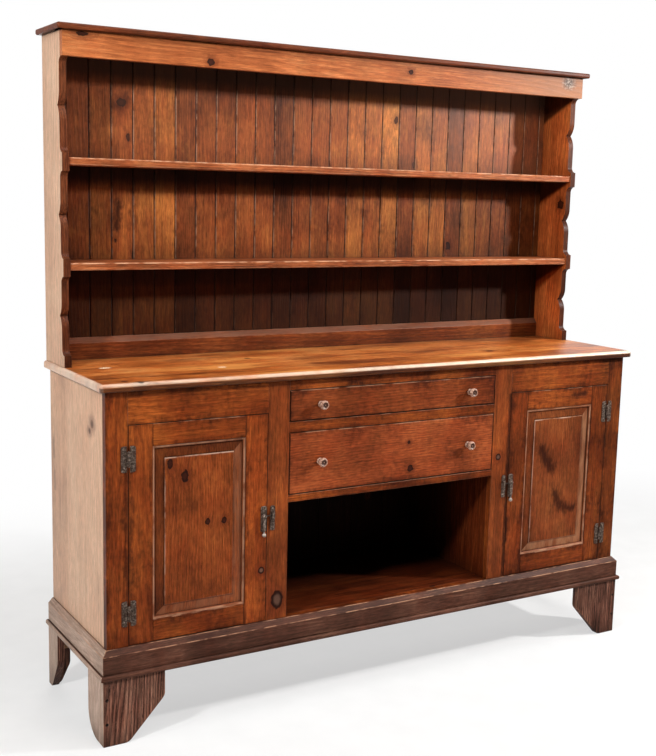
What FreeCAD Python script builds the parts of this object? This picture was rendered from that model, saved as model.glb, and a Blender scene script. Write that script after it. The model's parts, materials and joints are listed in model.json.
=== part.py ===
"""Welsh dresser: a shelved rack on a base with two cupboards, two drawers and an open recess.

All lengths are millimetres. +X runs to the viewer's right, +Y to the back, +Z up.
The origin lies on the floor under the middle of the bounding box.
"""
import FreeCAD
import Part
import math
import os

# Base openings and face frame, seen from the front
DOOR_OPENING_W = 378.5
RECESS_W = 671.0
OUTER_STILE_W = 56.5
INNER_STILE_W = 61.5
DOOR_HEAD_H = 83.0
RECESS_H = 312.5
CEILING_T = 19.0
LOWER_DRAWER_H = 166.0
MIDDLE_RAIL_H = 27.5
UPPER_DRAWER_H = 84.0
TOP_RAIL_H = 28.0

# Base boards and depth
CARCASS_D = 422.0
FRAME_T = 19.0
SIDE_T = 19.0
FLOOR_T = 19.0
PARTITION_T = 19.0
HOUSING_D = 6.0
TENON_L = 20.0
TENON_T = 7.0
TENON_SHOULDER = 5.0

# Counter
COUNTER_T = 20.0
COUNTER_OVERHANG = 16.5
COUNTER_NOSE_R = 8.0
COUNTER_CORNER_R = 5.0
COUNTER_ARRIS = 4.0

# Plinth, shoe moulding and feet
PLINTH_H = 60.0
PLINTH_T = 14.5
PLINTH_CHAMFER_H = 13.0
PLINTH_TOP_FLAT = 2.5
SHOE_T = 13.5
SHOE_W = 80.0
SHOE_PROUD = 7.5
SHOE_EDGE_R = 5.0
SHOE_ROUND_STEPS = 4
FOOT_H = 170.5
BRACKET_T = 19.0
FOOT_FRONT_W = 162.0
FOOT_FRONT_TOE = 66.0
FOOT_FRONT_KNEE_H = 104.0
FOOT_FRONT_TOE_R = 24.0
FOOT_FRONT_KNEE_R = 24.0
FOOT_SIDE_W = 112.0
FOOT_SIDE_R = 66.0
REAR_FOOT_SIDE_W = 59.0
REAR_FOOT_SIDE_TOE = 8.0
REAR_FOOT_SIDE_TOE_R = 6.0
REAR_FOOT_SIDE_KNEE_H = 82.0
REAR_FOOT_SIDE_KNEE_R = 50.0
REAR_FOOT_BACK_W = 54.0
REAR_FOOT_BACK_TOE = 27.0
REAR_FOOT_BACK_TOE_R = 18.0
REAR_FOOT_BACK_KNEE_H = 55.0
REAR_FOOT_BACK_KNEE_R = 26.0
FOOT_BLOCK_W = 30.0
FOOT_BLOCK_H = 60.0
FOOT_SCREW_TOP_INSET = 49.5
FOOT_SCREW_TOE_INSET = 58.0
FOOT_SCREW_SINK = 2.5

# Plank backs
BACK_BOARD_T = 10.0
BACK_REBATE_W = 9.0
RACK_BOARD_COUNT = 28
RACK_END_BOARD_SHARES = (0.784, 0.488)
BASE_BOARD_COUNT = 14
BASE_END_BOARD_SHARES = (1.0, 1.0)
SEAM = 0.6
SEAM_CHAMFER = 1.8
TONGUE_L = 5.0
TONGUE_T = 3.0
TONGUE_CLEARANCE = 0.2

# Rack on the counter
RACK_INSET = 7.0
RACK_D = 152.0
RACK_SIDE_T = 19.0
RACK_LOWER_BAY_H = 246.0
RACK_MIDDLE_BAY_H = 243.0
RACK_UPPER_BAY_H = 242.0
SHELF_T = 19.0
SHELF_SETBACK = 3.0
SHELF_ARRIS = 2.0
FRIEZE_H = 62.0
FRIEZE_T = 19.0
FRIEZE_LET_IN = 8.0
CORNICE_T = 14.5
CORNICE_OVERHANG = 16.0
CORNICE_NOSE_R = 5.0
PLATE_RAIL_H = 58.5
PLATE_RAIL_T = 14.0
PLATE_RAIL_CHAMFER_H = 15.0
PLATE_RAIL_TOP_FLAT = 2.5
DOWEL_R = 5.0
DOWEL_L = 28.0
DOWEL_INSET = 34.0
DOWEL_CLEARANCE = 0.15

# Scalloped front edge of the rack's end boards
TAB_ABOVE_SHELF = 11.0
TAB_BELOW_SHELF = 15.0
BASE_TAB_H = 30.0
LOBE_SETBACK = 17.0
NOTCH_SETBACK = 32.0
LOBE_CURVE_SHARE = 0.34

# Doors
DOOR_T = 19.0
DOOR_GAP = 1.6
DOOR_STILE_W = 62.0
DOOR_RAIL_W = 56.0
PANEL_SETBACK = 7.5
PANEL_TONGUE_T = 5.0
PANEL_TONGUE_L = 7.0
PANEL_FLOAT = 1.0
PANEL_RAISE = 3.0
PANEL_STEP = 1.5
PANEL_BEVEL_W = 25.0
BEAD_W = 7.0
BEAD_T = 6.0
BEAD_SHARES = ((0, 0), (1.0, 0), (0.92, 0.42), (0.70, 0.76), (0.36, 0.96), (0, 1.0))

# Drawers
DRAWER_GAP = 1.5
DRAWER_FRONT_T = 20.0
DRAWER_SIDE_T = 12.0
DRAWER_BACK_T = 12.0
DRAWER_SEAT = 0.3
DRAWER_TOP_GAP = 4.0
DRAWER_BACK_GAP = 22.0
DRAWER_BOTTOM_T = 6.0
DRAWER_BOTTOM_LIFT = 7.0
DRAWER_BOTTOM_LET_IN = 5.0
DOVETAIL_L = 12.0
DOVETAIL_FLARE = 2.5
UPPER_DOVETAIL_COUNT = 2
LOWER_DOVETAIL_COUNT = 4
DOVETAIL_W_SHARE = 0.55
RUNNER_W = 24.0
STOP_H = 14.0
STOP_W = 16.0
STOP_GAP = 0.4

# Turned drawer knobs
KNOB_INSET = 92.0
KNOB_R = 12.7
KNOB_HEAD_T = 9.0
KNOB_NECK_R = 5.5
KNOB_NECK_L = 10.0
KNOB_COLLAR_R = 8.0
KNOB_COLLAR_T = 6.0
KNOB_HEAD_SHARES = ((0.76, 0.2), (0.96, 0.42), (1.0, 0.62), (0.93, 0.86), (0.74, 1.0), (0.5, 0.86), (0, 0.8))
KNOB_COLLAR_SHARES = ((1.0, 0.45), (0.86, 0.85))
KNOB_STEM_R = 4.5
KNOB_STEM_L = 14.0
KNOB_STEM_CLEARANCE = 0.1

# Surface hinges
HINGE_INSET = 82.0
HINGE_R = 3.6
HINGE_PIN_R = 1.6
HINGE_PIN_CLEARANCE = 0.05
HINGE_STANDOFF = 0.4
HINGE_BARREL_L = 36.0
HINGE_KNUCKLE_GAP = 0.4
HINGE_TIP_R = 2.5
HINGE_TIP_L = 2.0
LEAF_W = 14.0
LEAF_H = 64.0
LEAF_T = 1.8
LEAF_AXIS_GAP = 4.6
LEAF_CORNER = 3.0
LEAF_SCREW_INSET = 10.0

# Latches
LATCH_PLATE_W = 16.0
LATCH_PLATE_H = 68.0
LATCH_PLATE_T = 2.0
LATCH_PLATE_INSET = 1.0
LATCH_CORNER = 3.0
LATCH_SCREW_INSET = 8.0
LEVER_PIVOT_DROP = 26.0
LEVER_T = 4.0
LEVER_GAP = 1.7
LEVER_HUB_GAP = 0.3
LEVER_HUB_R = 6.5
LEVER_ARM_TOP_W = 10.0
LEVER_ARM_END_W = 7.0
LEVER_ARM_L = 34.0
LEVER_BALL_R = 5.2
LEVER_BALL_DROP = 50.0
LEVER_NECK_R = 2.0
LEVER_TONGUE_H = 3.4
LEVER_TONGUE_T = 2.4
LEVER_TONGUE_GAP = 0.5
RIVET_R = 2.2
RIVET_CLEARANCE = 0.05
RIVET_HEAD_R = 4.0
RIVET_HEAD_T = 1.6
RIVET_HEAD_GAP = 0.3
RIVET_ROOT_L = 8.0
KEEP_OFFSET = 9.0
KEEP_W = 13.0
KEEP_H = 66.0
KEEP_T = 2.0
KEEP_HOOK_EDGE = 3.0
KEEP_HOOK_W = 8.0
KEEP_HOOK_H = 16.0
KEEP_HOOK_RISE = 5.0
KEEP_SLOT_D = 6.0
KEEP_SLOT_CLEARANCE = 0.8

# Screws
SCREW_R = 1.5
SCREW_L = 12.0
SCREW_HEAD_R = 3.0
SCREW_HEAD_T = 1.2
SCREW_SLOT_W = 0.7
SCREW_SLOT_D = 0.6
SCREW_CLEARANCE = 0.1
SCREW_CROWN_SHARE = 0.6
FOOT_SCREW_R = 2.2
FOOT_SCREW_L = 26.0
FOOT_SCREW_HEAD_R = 4.2
FOOT_SCREW_HEAD_T = 1.6
FOOT_SCREW_SLOT_W = 1.0
FOOT_SCREW_SLOT_D = 0.8

# Cuts run this far past a face, and points this close are one place
OVERRUN = 2.0
SAME_PLACE = 0.001

# Levels above the floor
SHOE_TOP = FOOT_H + SHOE_T
FLOOR_TOP = SHOE_TOP + PLINTH_H
CEILING_BOTTOM = FLOOR_TOP + RECESS_H
LOWER_DRAWER_Z = CEILING_BOTTOM + CEILING_T
MIDDLE_RAIL_Z = LOWER_DRAWER_Z + LOWER_DRAWER_H
UPPER_DRAWER_Z = MIDDLE_RAIL_Z + MIDDLE_RAIL_H
TOP_RAIL_Z = UPPER_DRAWER_Z + UPPER_DRAWER_H
CARCASS_TOP = TOP_RAIL_Z + TOP_RAIL_H
DOOR_HEAD_Z = CARCASS_TOP - DOOR_HEAD_H
COUNTER_TOP = CARCASS_TOP + COUNTER_T
LOWER_SHELF_Z = COUNTER_TOP + RACK_LOWER_BAY_H
UPPER_SHELF_Z = LOWER_SHELF_Z + SHELF_T + RACK_MIDDLE_BAY_H
FRIEZE_Z = UPPER_SHELF_Z + SHELF_T + RACK_UPPER_BAY_H
RACK_TOP = FRIEZE_Z + FRIEZE_H

# Places across the width, as distances from the middle
RECESS_X = RECESS_W / 2
DOOR_INNER_X = RECESS_X + INNER_STILE_W
DOOR_OUTER_X = DOOR_INNER_X + DOOR_OPENING_W
CARCASS_X = DOOR_OUTER_X + OUTER_STILE_W
SIDE_INNER_X = CARCASS_X - SIDE_T
PLINTH_X = CARCASS_X + PLINTH_T
SHOE_X = PLINTH_X + SHOE_PROUD
COUNTER_X = CARCASS_X + COUNTER_OVERHANG
RACK_X = COUNTER_X - RACK_INSET
RACK_INNER_X = RACK_X - RACK_SIDE_T

# Places from front to back
KNOB_REACH = KNOB_COLLAR_T + KNOB_NECK_L + KNOB_HEAD_T
FRONT_Y = (KNOB_REACH - CARCASS_D) / 2
BACK_Y = FRONT_Y + CARCASS_D
FRAME_BACK_Y = FRONT_Y + FRAME_T
BOARD_FRONT_Y = BACK_Y - BACK_BOARD_T
PLINTH_Y = FRONT_Y - PLINTH_T
SHOE_Y = PLINTH_Y - SHOE_PROUD
RACK_FRONT_Y = BACK_Y - RACK_D
FRIEZE_BACK_Y = RACK_FRONT_Y + FRIEZE_LET_IN
FRIEZE_FRONT_Y = FRIEZE_BACK_Y - FRIEZE_T

X = FreeCAD.Vector(1, 0, 0)
Y = FreeCAD.Vector(0, 1, 0)
Z = FreeCAD.Vector(0, 0, 1)


def at(x, y, z):
    """A point."""
    return FreeCAD.Vector(x, y, z)


def block(xs, ys, zs):
    """A box between two values on each axis, in either order."""
    (x0, x1), (y0, y1), (z0, z1) = sorted(xs), sorted(ys), sorted(zs)
    return Part.makeBox(x1 - x0, y1 - y0, z1 - z0, at(x0, y0, z0))


def mirrored(shape):
    """The same piece on the other side of the middle plane."""
    return shape.mirror(at(0, 0, 0), X)


def pair(shape):
    """A piece and its mirror image."""
    return [shape, mirrored(shape)]


def joined(shapes):
    """One solid from overlapping or touching shapes."""
    return shapes[0].multiFuse(shapes[1:]).removeSplitter()


def prism(points, direction):
    """A straight-sided outline pushed out along a direction."""
    return Part.Face(Part.makePolygon(points + points[:1])).extrude(direction)


def rounded_face(corners):
    """A flat outline of (point, radius) corners, with each radius as a tangent arc."""
    edges = []
    ends = []
    count = len(corners)
    for i, (corner, radius) in enumerate(corners):
        to_last = (corners[i - 1][0] - corner).normalize()
        to_next = (corners[(i + 1) % count][0] - corner).normalize()
        if radius == 0:
            ends.append((corner, corner))
            continue
        half = to_last.getAngle(to_next) / 2
        start = corner + to_last * (radius / math.tan(half))
        stop = corner + to_next * (radius / math.tan(half))
        middle = (to_last + to_next).normalize()
        nearest = corner + middle * (radius / math.sin(half) - radius)
        edges.append(Part.Arc(start, nearest, stop).toShape())
        ends.append((start, stop))
    for i in range(count):
        edges.append(Part.LineSegment(ends[i][1], ends[(i + 1) % count][0]).toShape())
    return Part.Face(Part.Wire(Part.__sortEdges__(edges)))


def turned(profile, place):
    """A solid of revolution: (radius, height) points, turned about a line along -Y from a place."""
    points = [at(place.x + radius, place.y - height, place.z) for radius, height in profile]
    return Part.Face(Part.makePolygon(points + points[:1])).revolve(place, Y, 360)


def moulding(section, length, corner, along, inward, mitres):
    """A strip with a section of (inward, up) points, with mitred or square ends.

    It starts at a corner and runs along a direction; up is the cross product of along and inward.
    """
    up = along.cross(inward)
    points = [corner + inward * u + up * v for u, v in section]
    strip = prism(points, along * length)
    width = max(u for u, v in section)
    low = min(v for u, v in section)
    high = max(v for u, v in section)
    starts = width if mitres[0] else 0
    stops = length - (width if mitres[1] else 0)
    plan = [(0, 0), (length, 0), (stops, width), (starts, width)]
    base = corner + up * low
    limits = prism([base + along * a + inward * b for a, b in plan], up * (high - low))
    return strip.common(limits)


def round_section(width, height, radius, steps):
    """A strip section with two rounded edges on its outer side, as short straight facets."""
    points = []
    for centre_v, first in ((radius, 270), (height - radius, 180)):
        for i in range(steps + 1):
            angle = math.radians(first - 90 * i / steps)
            points.append((radius + radius * math.cos(angle), centre_v + radius * math.sin(angle)))
    return points + [(width, height), (width, 0)]


def edges_between(shape, test):
    """The edges of a shape whose two ends both pass a test."""
    return [edge for edge in shape.Edges if all(test(vertex.Point) for vertex in edge.Vertexes)]


def near(value, other):
    """Whether two coordinates are the same place."""
    return abs(value - other) < SAME_PLACE


def nosed_board(xs, ys, zs, corner_r, top_r, bottom_r):
    """A board with rounded front corners, and rounded top and bottom edges at its front and ends."""
    (x0, x1), (y0, y1), (z0, z1) = xs, ys, zs
    front_corners = [(at(x0, y0, z0), corner_r), (at(x1, y0, z0), corner_r)]
    back_corners = [(at(x1, y1, z0), 0), (at(x0, y1, z0), 0)]
    board = rounded_face(front_corners + back_corners).extrude(at(0, 0, z1 - z0))
    for level, radius in ((z1, top_r), (z0, bottom_r)):
        rim = [
            edge
            for edge in edges_between(board, lambda p: near(p.z, level))
            if not all(near(vertex.Point.y, y1) for vertex in edge.Vertexes)
        ]
        board = board.makeFillet(radius, rim)
    return board


def screw_at(place, radius, length, head_r, head_t, slot_w, slot_d):
    """A slotted screw driven along +Y, with the underside of its head at a place."""
    crown = head_r * SCREW_CROWN_SHARE
    profile = [(0, -length), (radius, -length), (radius, 0), (head_r, 0), (crown, head_t), (0, head_t)]
    slot = block(
        (place.x - head_r, place.x + head_r),
        (place.y - head_t - OVERRUN, place.y - head_t + slot_d),
        (place.z - slot_w / 2, place.z + slot_w / 2),
    )
    return turned(profile, place).cut(slot)


def hardware_screw(place):
    """A screw that holds a hinge leaf, a latch plate or a keep."""
    return screw_at(place, SCREW_R, SCREW_L, SCREW_HEAD_R, SCREW_HEAD_T, SCREW_SLOT_W, SCREW_SLOT_D)


def bore_along_y(place, radius, start, stop):
    """A round cutter along Y between two heights behind and in front of a place."""
    return Part.makeCylinder(radius, stop - start, at(place.x, place.y + start, place.z), Y)


def screw_hole(place):
    """The hole that a hardware screw needs in a plate and in the wood behind it."""
    return bore_along_y(place, SCREW_R + SCREW_CLEARANCE, -SCREW_HEAD_T, SCREW_L + SCREW_CLEARANCE)


def save(node, solids):
    """Write the solids of one node to its own file."""
    shape = solids[0] if len(solids) == 1 else Part.makeCompound(solids)
    shape.exportStep(os.path.join("parts", node + ".step"))


def planks(count, end_shares, half_span, bottom, top):
    """A back of tongued boards with a small chamfer at each seam, its two end boards cut narrower."""
    widths = [end_shares[0]] + [1] * (count - 2) + [end_shares[1]]
    pitch = (2 * half_span + SEAM) / sum(widths)
    middle = (BOARD_FRONT_Y + BACK_Y) / 2
    boards = []
    for i in range(count):
        left = -half_span + sum(widths[:i]) * pitch
        right = left + widths[i] * pitch - SEAM
        points = [(left + SEAM_CHAMFER, BOARD_FRONT_Y), (right - SEAM_CHAMFER, BOARD_FRONT_Y)]
        points.append((right, BOARD_FRONT_Y + SEAM_CHAMFER))
        if i < count - 1:
            points.append((right, middle - TONGUE_T / 2))
            points.append((right + TONGUE_L, middle - TONGUE_T / 2))
            points.append((right + TONGUE_L, middle + TONGUE_T / 2))
            points.append((right, middle + TONGUE_T / 2))
        points += [(right, BACK_Y), (left, BACK_Y)]
        if i > 0:
            groove = TONGUE_T / 2 + TONGUE_CLEARANCE
            points.append((left, middle + groove))
            points.append((left + TONGUE_L, middle + groove))
            points.append((left + TONGUE_L, middle - groove))
            points.append((left, middle - groove))
        points.append((left, BOARD_FRONT_Y + SEAM_CHAMFER))
        boards.append(prism([at(x, y, bottom) for x, y in points], at(0, 0, top - bottom)))
    return boards


def frame_rail(x0, x1, z0, z1):
    """A face frame rail with a tenon at each end."""
    middle = FRONT_Y + FRAME_T / 2
    rail = block((x0, x1), (FRONT_Y, FRAME_BACK_Y), (z0, z1))
    tenons = block(
        (x0 - TENON_L, x1 + TENON_L),
        (middle - TENON_T / 2, middle + TENON_T / 2),
        (z0 + TENON_SHOULDER, z1 - TENON_SHOULDER),
    )
    return joined([rail, tenons])


def chamfered_section(thickness, height, chamfer_h, top_flat):
    """A board section whose outer top edge slopes away."""
    slope_foot = height - chamfer_h
    return [(0, 0), (thickness, 0), (thickness, height), (thickness - top_flat, height), (0, slope_foot)]


def skirt(section, half_width, front, level):
    """A mitred moulding round the front and the two ends: front strip, left return, right return."""
    depth = BACK_Y - front
    front_strip = moulding(section, 2 * half_width, at(-half_width, front, level), X, Y, (True, True))
    left = moulding(section, depth, at(-half_width, BACK_Y, level), -Y, X, (False, True))
    right = moulding(section, depth, at(half_width, front, level), Y, -X, (True, False))
    return [front_strip, left, right]


def scallop(face_top, face_bottom):
    """Edges of one scalloped bay, down from an upper tab to a lower one."""
    middle = (face_top + face_bottom) / 2
    deep = NOTCH_SETBACK - LOBE_SETBACK
    run = (face_top - face_bottom) / 2 * LOBE_CURVE_SHARE
    radius = (deep**2 + run**2) / (2 * deep)
    half_sweep = math.asin(run / radius) / 2
    belly = LOBE_SETBACK + radius * (1 - math.cos(half_sweep))
    belly_run = run - radius * math.sin(half_sweep)
    diagonal = LOBE_SETBACK * math.sin(math.pi / 4)
    spots = []
    for end, sign in ((face_top, -1), (face_bottom, 1)):
        cove_end = end + sign * LOBE_SETBACK
        cove = [(0, end), (diagonal, cove_end - sign * diagonal), (LOBE_SETBACK, cove_end)]
        lobe_end = middle - sign * run
        lobe = [(LOBE_SETBACK, lobe_end), (belly, middle - sign * belly_run), (NOTCH_SETBACK, middle)]
        spots.append((cove, lobe))

    def spot(point):
        return at(0, RACK_FRONT_Y + point[0], point[1])

    edges = []
    for cove, lobe in spots:
        edges.append(Part.Arc(*[spot(p) for p in cove]).toShape())
        edges.append(Part.LineSegment(spot(cove[2]), spot(lobe[0])).toShape())
        edges.append(Part.Arc(*[spot(p) for p in lobe]).toShape())
    return edges


def rack_side_blank():
    """The outline of a rack end board, standing on the right with its inner face at the rack's inside."""
    bays = [
        (FRIEZE_Z, UPPER_SHELF_Z + SHELF_T + TAB_ABOVE_SHELF),
        (UPPER_SHELF_Z - TAB_BELOW_SHELF, LOWER_SHELF_Z + SHELF_T + TAB_ABOVE_SHELF),
        (LOWER_SHELF_Z - TAB_BELOW_SHELF, COUNTER_TOP + BASE_TAB_H),
    ]
    edges = []
    for face_top, face_bottom in bays:
        edges += scallop(face_top, face_bottom)
    front = [(RACK_FRONT_Y, bays[0][1]), (RACK_FRONT_Y, bays[1][0])]
    straight = [front, [(RACK_FRONT_Y, bays[1][1]), (RACK_FRONT_Y, bays[2][0])]]
    outer = [
        (RACK_FRONT_Y, bays[2][1]),
        (RACK_FRONT_Y, COUNTER_TOP),
        (BACK_Y, COUNTER_TOP),
        (BACK_Y, RACK_TOP),
        (FRIEZE_BACK_Y, RACK_TOP),
        (FRIEZE_BACK_Y, FRIEZE_Z),
        (RACK_FRONT_Y, FRIEZE_Z),
    ]
    straight += [list(ends) for ends in zip(outer, outer[1:])]
    for (y0, z0), (y1, z1) in straight:
        edges.append(Part.LineSegment(at(0, y0, z0), at(0, y1, z1)).toShape())
    face = Part.Face(Part.Wire(Part.__sortEdges__(edges)))
    face.translate(at(RACK_INNER_X, 0, 0))
    return face.extrude(X * RACK_SIDE_T)


def shelf_at(level):
    """A rack shelf with its ends in the housings and its front edges eased."""
    xs = (-RACK_INNER_X - HOUSING_D, RACK_INNER_X + HOUSING_D)
    front = RACK_FRONT_Y + SHELF_SETBACK
    outline = [
        (front, level + SHELF_ARRIS),
        (front + SHELF_ARRIS, level),
        (BOARD_FRONT_Y, level),
        (BOARD_FRONT_Y, level + SHELF_T),
        (front + SHELF_ARRIS, level + SHELF_T),
        (front, level + SHELF_T - SHELF_ARRIS),
    ]
    return prism([at(xs[0], y, z) for y, z in outline], X * (xs[1] - xs[0]))


def rebate(inner_x, bottom, top):
    """The rebate in the back edge of a right-hand end board that holds the plank back."""
    xs = (inner_x - OVERRUN, inner_x + BACK_REBATE_W)
    return block(xs, (BOARD_FRONT_Y, BACK_Y + OVERRUN), (bottom - OVERRUN, top + OVERRUN))


def bracket(corner, across, push, toe, toe_r, width, knee_h, knee_r):
    """A shaped foot board: flat toe, sloping edge, upright edge; outline in the plane of across and Z."""
    points = [
        (corner, 0),
        (corner + across * toe, toe_r),
        (corner + across * width + Z * knee_h, knee_r),
        (corner + across * width + Z * FOOT_H, 0),
        (corner + Z * FOOT_H, 0),
    ]
    return rounded_face(points).extrude(push * BRACKET_T)


def leaf(axis_x, toward, z, knuckles):
    """A hinge leaf on one side of the barrel, with its own knuckles, its bore and two screw holes."""
    near_x = axis_x + toward * LEAF_AXIS_GAP
    far_x = near_x + toward * LEAF_W
    low = z - LEAF_H / 2
    high = z + LEAF_H / 2
    inset = toward * LEAF_CORNER
    outline = [
        (near_x, low),
        (far_x - inset, low),
        (far_x, low + LEAF_CORNER),
        (far_x, high - LEAF_CORNER),
        (far_x - inset, high),
        (near_x, high),
    ]
    pieces = [prism([at(x, FRONT_Y, level) for x, level in outline], -Y * LEAF_T)]
    for bottom, top in knuckles:
        pieces.append(Part.makeCylinder(HINGE_R, top - bottom, at(axis_x, HINGE_Y, bottom), Z))
        pieces.append(block((axis_x, near_x), (FRONT_Y - LEAF_T, FRONT_Y), (bottom, top)))
    bore_r = HINGE_PIN_R + HINGE_PIN_CLEARANCE
    bore = Part.makeCylinder(bore_r, LEAF_H, at(axis_x, HINGE_Y, low), Z)
    return joined(pieces).cut(bore)


def leaf_screw_places(axis_x, toward, z):
    """Where the two screws of a leaf sit."""
    x = axis_x + toward * (LEAF_AXIS_GAP + LEAF_W / 2)
    reach = LEAF_H / 2 - LEAF_SCREW_INSET
    return [at(x, FRONT_Y - LEAF_T, z + reach), at(x, FRONT_Y - LEAF_T, z - reach)]


def hinge_pin(axis_x, z):
    """A hinge pin with a button at each end of the barrel."""
    low = z - HINGE_BARREL_L / 2
    high = z + HINGE_BARREL_L / 2
    pin = Part.makeCylinder(HINGE_PIN_R, high - low, at(axis_x, HINGE_Y, low), Z)
    foot = Part.makeCone(HINGE_PIN_R, HINGE_TIP_R, HINGE_TIP_L, at(axis_x, HINGE_Y, low - HINGE_TIP_L), Z)
    head = Part.makeCone(HINGE_TIP_R, HINGE_PIN_R, HINGE_TIP_L, at(axis_x, HINGE_Y, high), Z)
    return joined([pin, foot, head])


def cut_plate(xs, zs, thickness, corner):
    """A flat plate on the face of the wood with clipped corners."""
    (x0, x1), (z0, z1) = sorted(xs), sorted(zs)
    outline = [
        (x0 + corner, z0),
        (x1 - corner, z0),
        (x1, z0 + corner),
        (x1, z1 - corner),
        (x1 - corner, z1),
        (x0 + corner, z1),
        (x0, z1 - corner),
        (x0, z0 + corner),
    ]
    return prism([at(x, FRONT_Y, z) for x, z in outline], -Y * thickness)


def door_pieces():
    """Every piece of the left-hand door and its latch, by name, and the frame's share of its hardware."""
    x0 = -DOOR_OUTER_X + DOOR_GAP
    x1 = -DOOR_INNER_X - DOOR_GAP
    z0 = FLOOR_TOP + DOOR_GAP
    z1 = DOOR_HEAD_Z - DOOR_GAP
    back = FRONT_Y + DOOR_T
    in_x0 = x0 + DOOR_STILE_W
    in_x1 = x1 - DOOR_STILE_W
    in_z0 = z0 + DOOR_RAIL_W
    in_z1 = z1 - DOOR_RAIL_W
    middle_z = (z0 + z1) / 2

    # Panel, its groove and the bead round it
    face_y = FRONT_Y + PANEL_SETBACK
    tongue_ys = (face_y, face_y + PANEL_TONGUE_T)
    grow = PANEL_TONGUE_L
    groove = block((in_x0 - grow, in_x1 + grow), tongue_ys, (in_z0 - grow, in_z1 + grow))
    grow = PANEL_TONGUE_L - PANEL_FLOAT
    sheet = block((in_x0 - grow, in_x1 + grow), tongue_ys, (in_z0 - grow, in_z1 + grow))
    rims = []
    for inset, y in ((BEAD_W, face_y), (BEAD_W + PANEL_BEVEL_W, face_y - PANEL_RAISE)):
        left, right, low, high = in_x0 + inset, in_x1 - inset, in_z0 + inset, in_z1 - inset
        spots = [at(left, y, low), at(right, y, low), at(right, y, high), at(left, y, high)]
        rims.append(Part.makePolygon(spots + spots[:1]))
    bevel = Part.makeLoft(rims, True, True)
    inset = BEAD_W + PANEL_BEVEL_W
    field_ys = (face_y, face_y - PANEL_RAISE - PANEL_STEP)
    field = block((in_x0 + inset, in_x1 - inset), field_ys, (in_z0 + inset, in_z1 - inset))
    panel = joined([sheet, bevel, field])
    section = [(u * BEAD_W, v * BEAD_T) for u, v in BEAD_SHARES]
    wide = in_x1 - in_x0
    tall = in_z1 - in_z0
    both = (True, True)
    beads = [
        moulding(section, wide, at(in_x0, face_y, in_z0), X, Z, both),
        moulding(section, tall, at(in_x1, face_y, in_z0), Z, -X, both),
        moulding(section, wide, at(in_x1, face_y, in_z1), -X, -Z, both),
        moulding(section, tall, at(in_x0, face_y, in_z1), -Z, X, both),
    ]

    # Rails tenoned into stiles
    rails = []
    middle_y = FRONT_Y + DOOR_T / 2
    for low, high in ((z0, in_z0), (in_z1, z1)):
        body = block((in_x0, in_x1), (FRONT_Y, back), (low, high))
        tenons = block(
            (in_x0 - TENON_L, in_x1 + TENON_L),
            (middle_y - TENON_T / 2, middle_y + TENON_T / 2),
            (low + TENON_SHOULDER, high - TENON_SHOULDER),
        )
        rails.append(joined([body, tenons]).cut(groove))
    stiles = []
    for left, right in ((x0, in_x0), (in_x1, x1)):
        stile = block((left, right), (FRONT_Y, back), (z0, z1)).cut(groove)
        stiles.append(stile.cut(rails))

    # Hinges
    axis_x = HINGE_X
    door_leaves = []
    frame_leaves = []
    pins = []
    door_screw_places = []
    frame_screw_places = []
    for z in (z0 + HINGE_INSET, z1 - HINGE_INSET):
        low = z - HINGE_BARREL_L / 2
        step = HINGE_BARREL_L / 3
        ends = [(low, low + step - HINGE_KNUCKLE_GAP), (low + 2 * step + HINGE_KNUCKLE_GAP, low + 3 * step)]
        door_leaves.append(leaf(axis_x, 1, z, [(low + step, low + 2 * step)]))
        frame_leaves.append(leaf(axis_x, -1, z, ends))
        pins.append(hinge_pin(axis_x, z))
        door_screw_places += leaf_screw_places(axis_x, 1, z)
        frame_screw_places += leaf_screw_places(axis_x, -1, z)
    door_leaves = [with_holes(item, door_screw_places) for item in door_leaves]
    frame_leaves = [with_holes(item, frame_screw_places) for item in frame_leaves]

    # Latch plate, rivet and lever on the door
    plate_x1 = x1 - LATCH_PLATE_INSET
    plate_x0 = plate_x1 - LATCH_PLATE_W
    plate_z1 = middle_z + LATCH_PLATE_H / 2
    plate_z0 = plate_z1 - LATCH_PLATE_H
    plate = cut_plate((plate_x0, plate_x1), (plate_z0, plate_z1), LATCH_PLATE_T, LATCH_CORNER)
    plate_y = FRONT_Y - LATCH_PLATE_T
    pivot = at((plate_x0 + plate_x1) / 2, plate_y, plate_z1 - LEVER_PIVOT_DROP)
    latch_places = [
        at(pivot.x, plate_y, plate_z1 - LATCH_SCREW_INSET),
        at(pivot.x, plate_y, plate_z0 + LATCH_SCREW_INSET),
    ]
    lever_front = LEVER_GAP + LEVER_T
    head_start = lever_front + RIVET_HEAD_GAP
    root = LATCH_PLATE_T + RIVET_ROOT_L
    crown = RIVET_HEAD_R * SCREW_CROWN_SHARE
    head_end = head_start + RIVET_HEAD_T
    profile = [(0, -root), (RIVET_R, -root), (RIVET_R, head_start), (RIVET_HEAD_R, head_start)]
    rivet = turned(profile + [(crown, head_end), (0, head_end)], pivot)
    bore_r = RIVET_R + RIVET_CLEARANCE
    rivet_hole = bore_along_y(pivot, bore_r, -head_start, root)
    plate = with_holes(plate, latch_places).cut(rivet_hole)
    hook_x = -DOOR_INNER_X + KEEP_OFFSET + KEEP_HOOK_EDGE
    lever = door_lever(pivot, hook_x - LEVER_TONGUE_GAP).cut(rivet_hole)
    door_screw_places += latch_places
    stiles = [with_holes(item, door_screw_places).cut(rivet_hole) for item in stiles]

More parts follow.
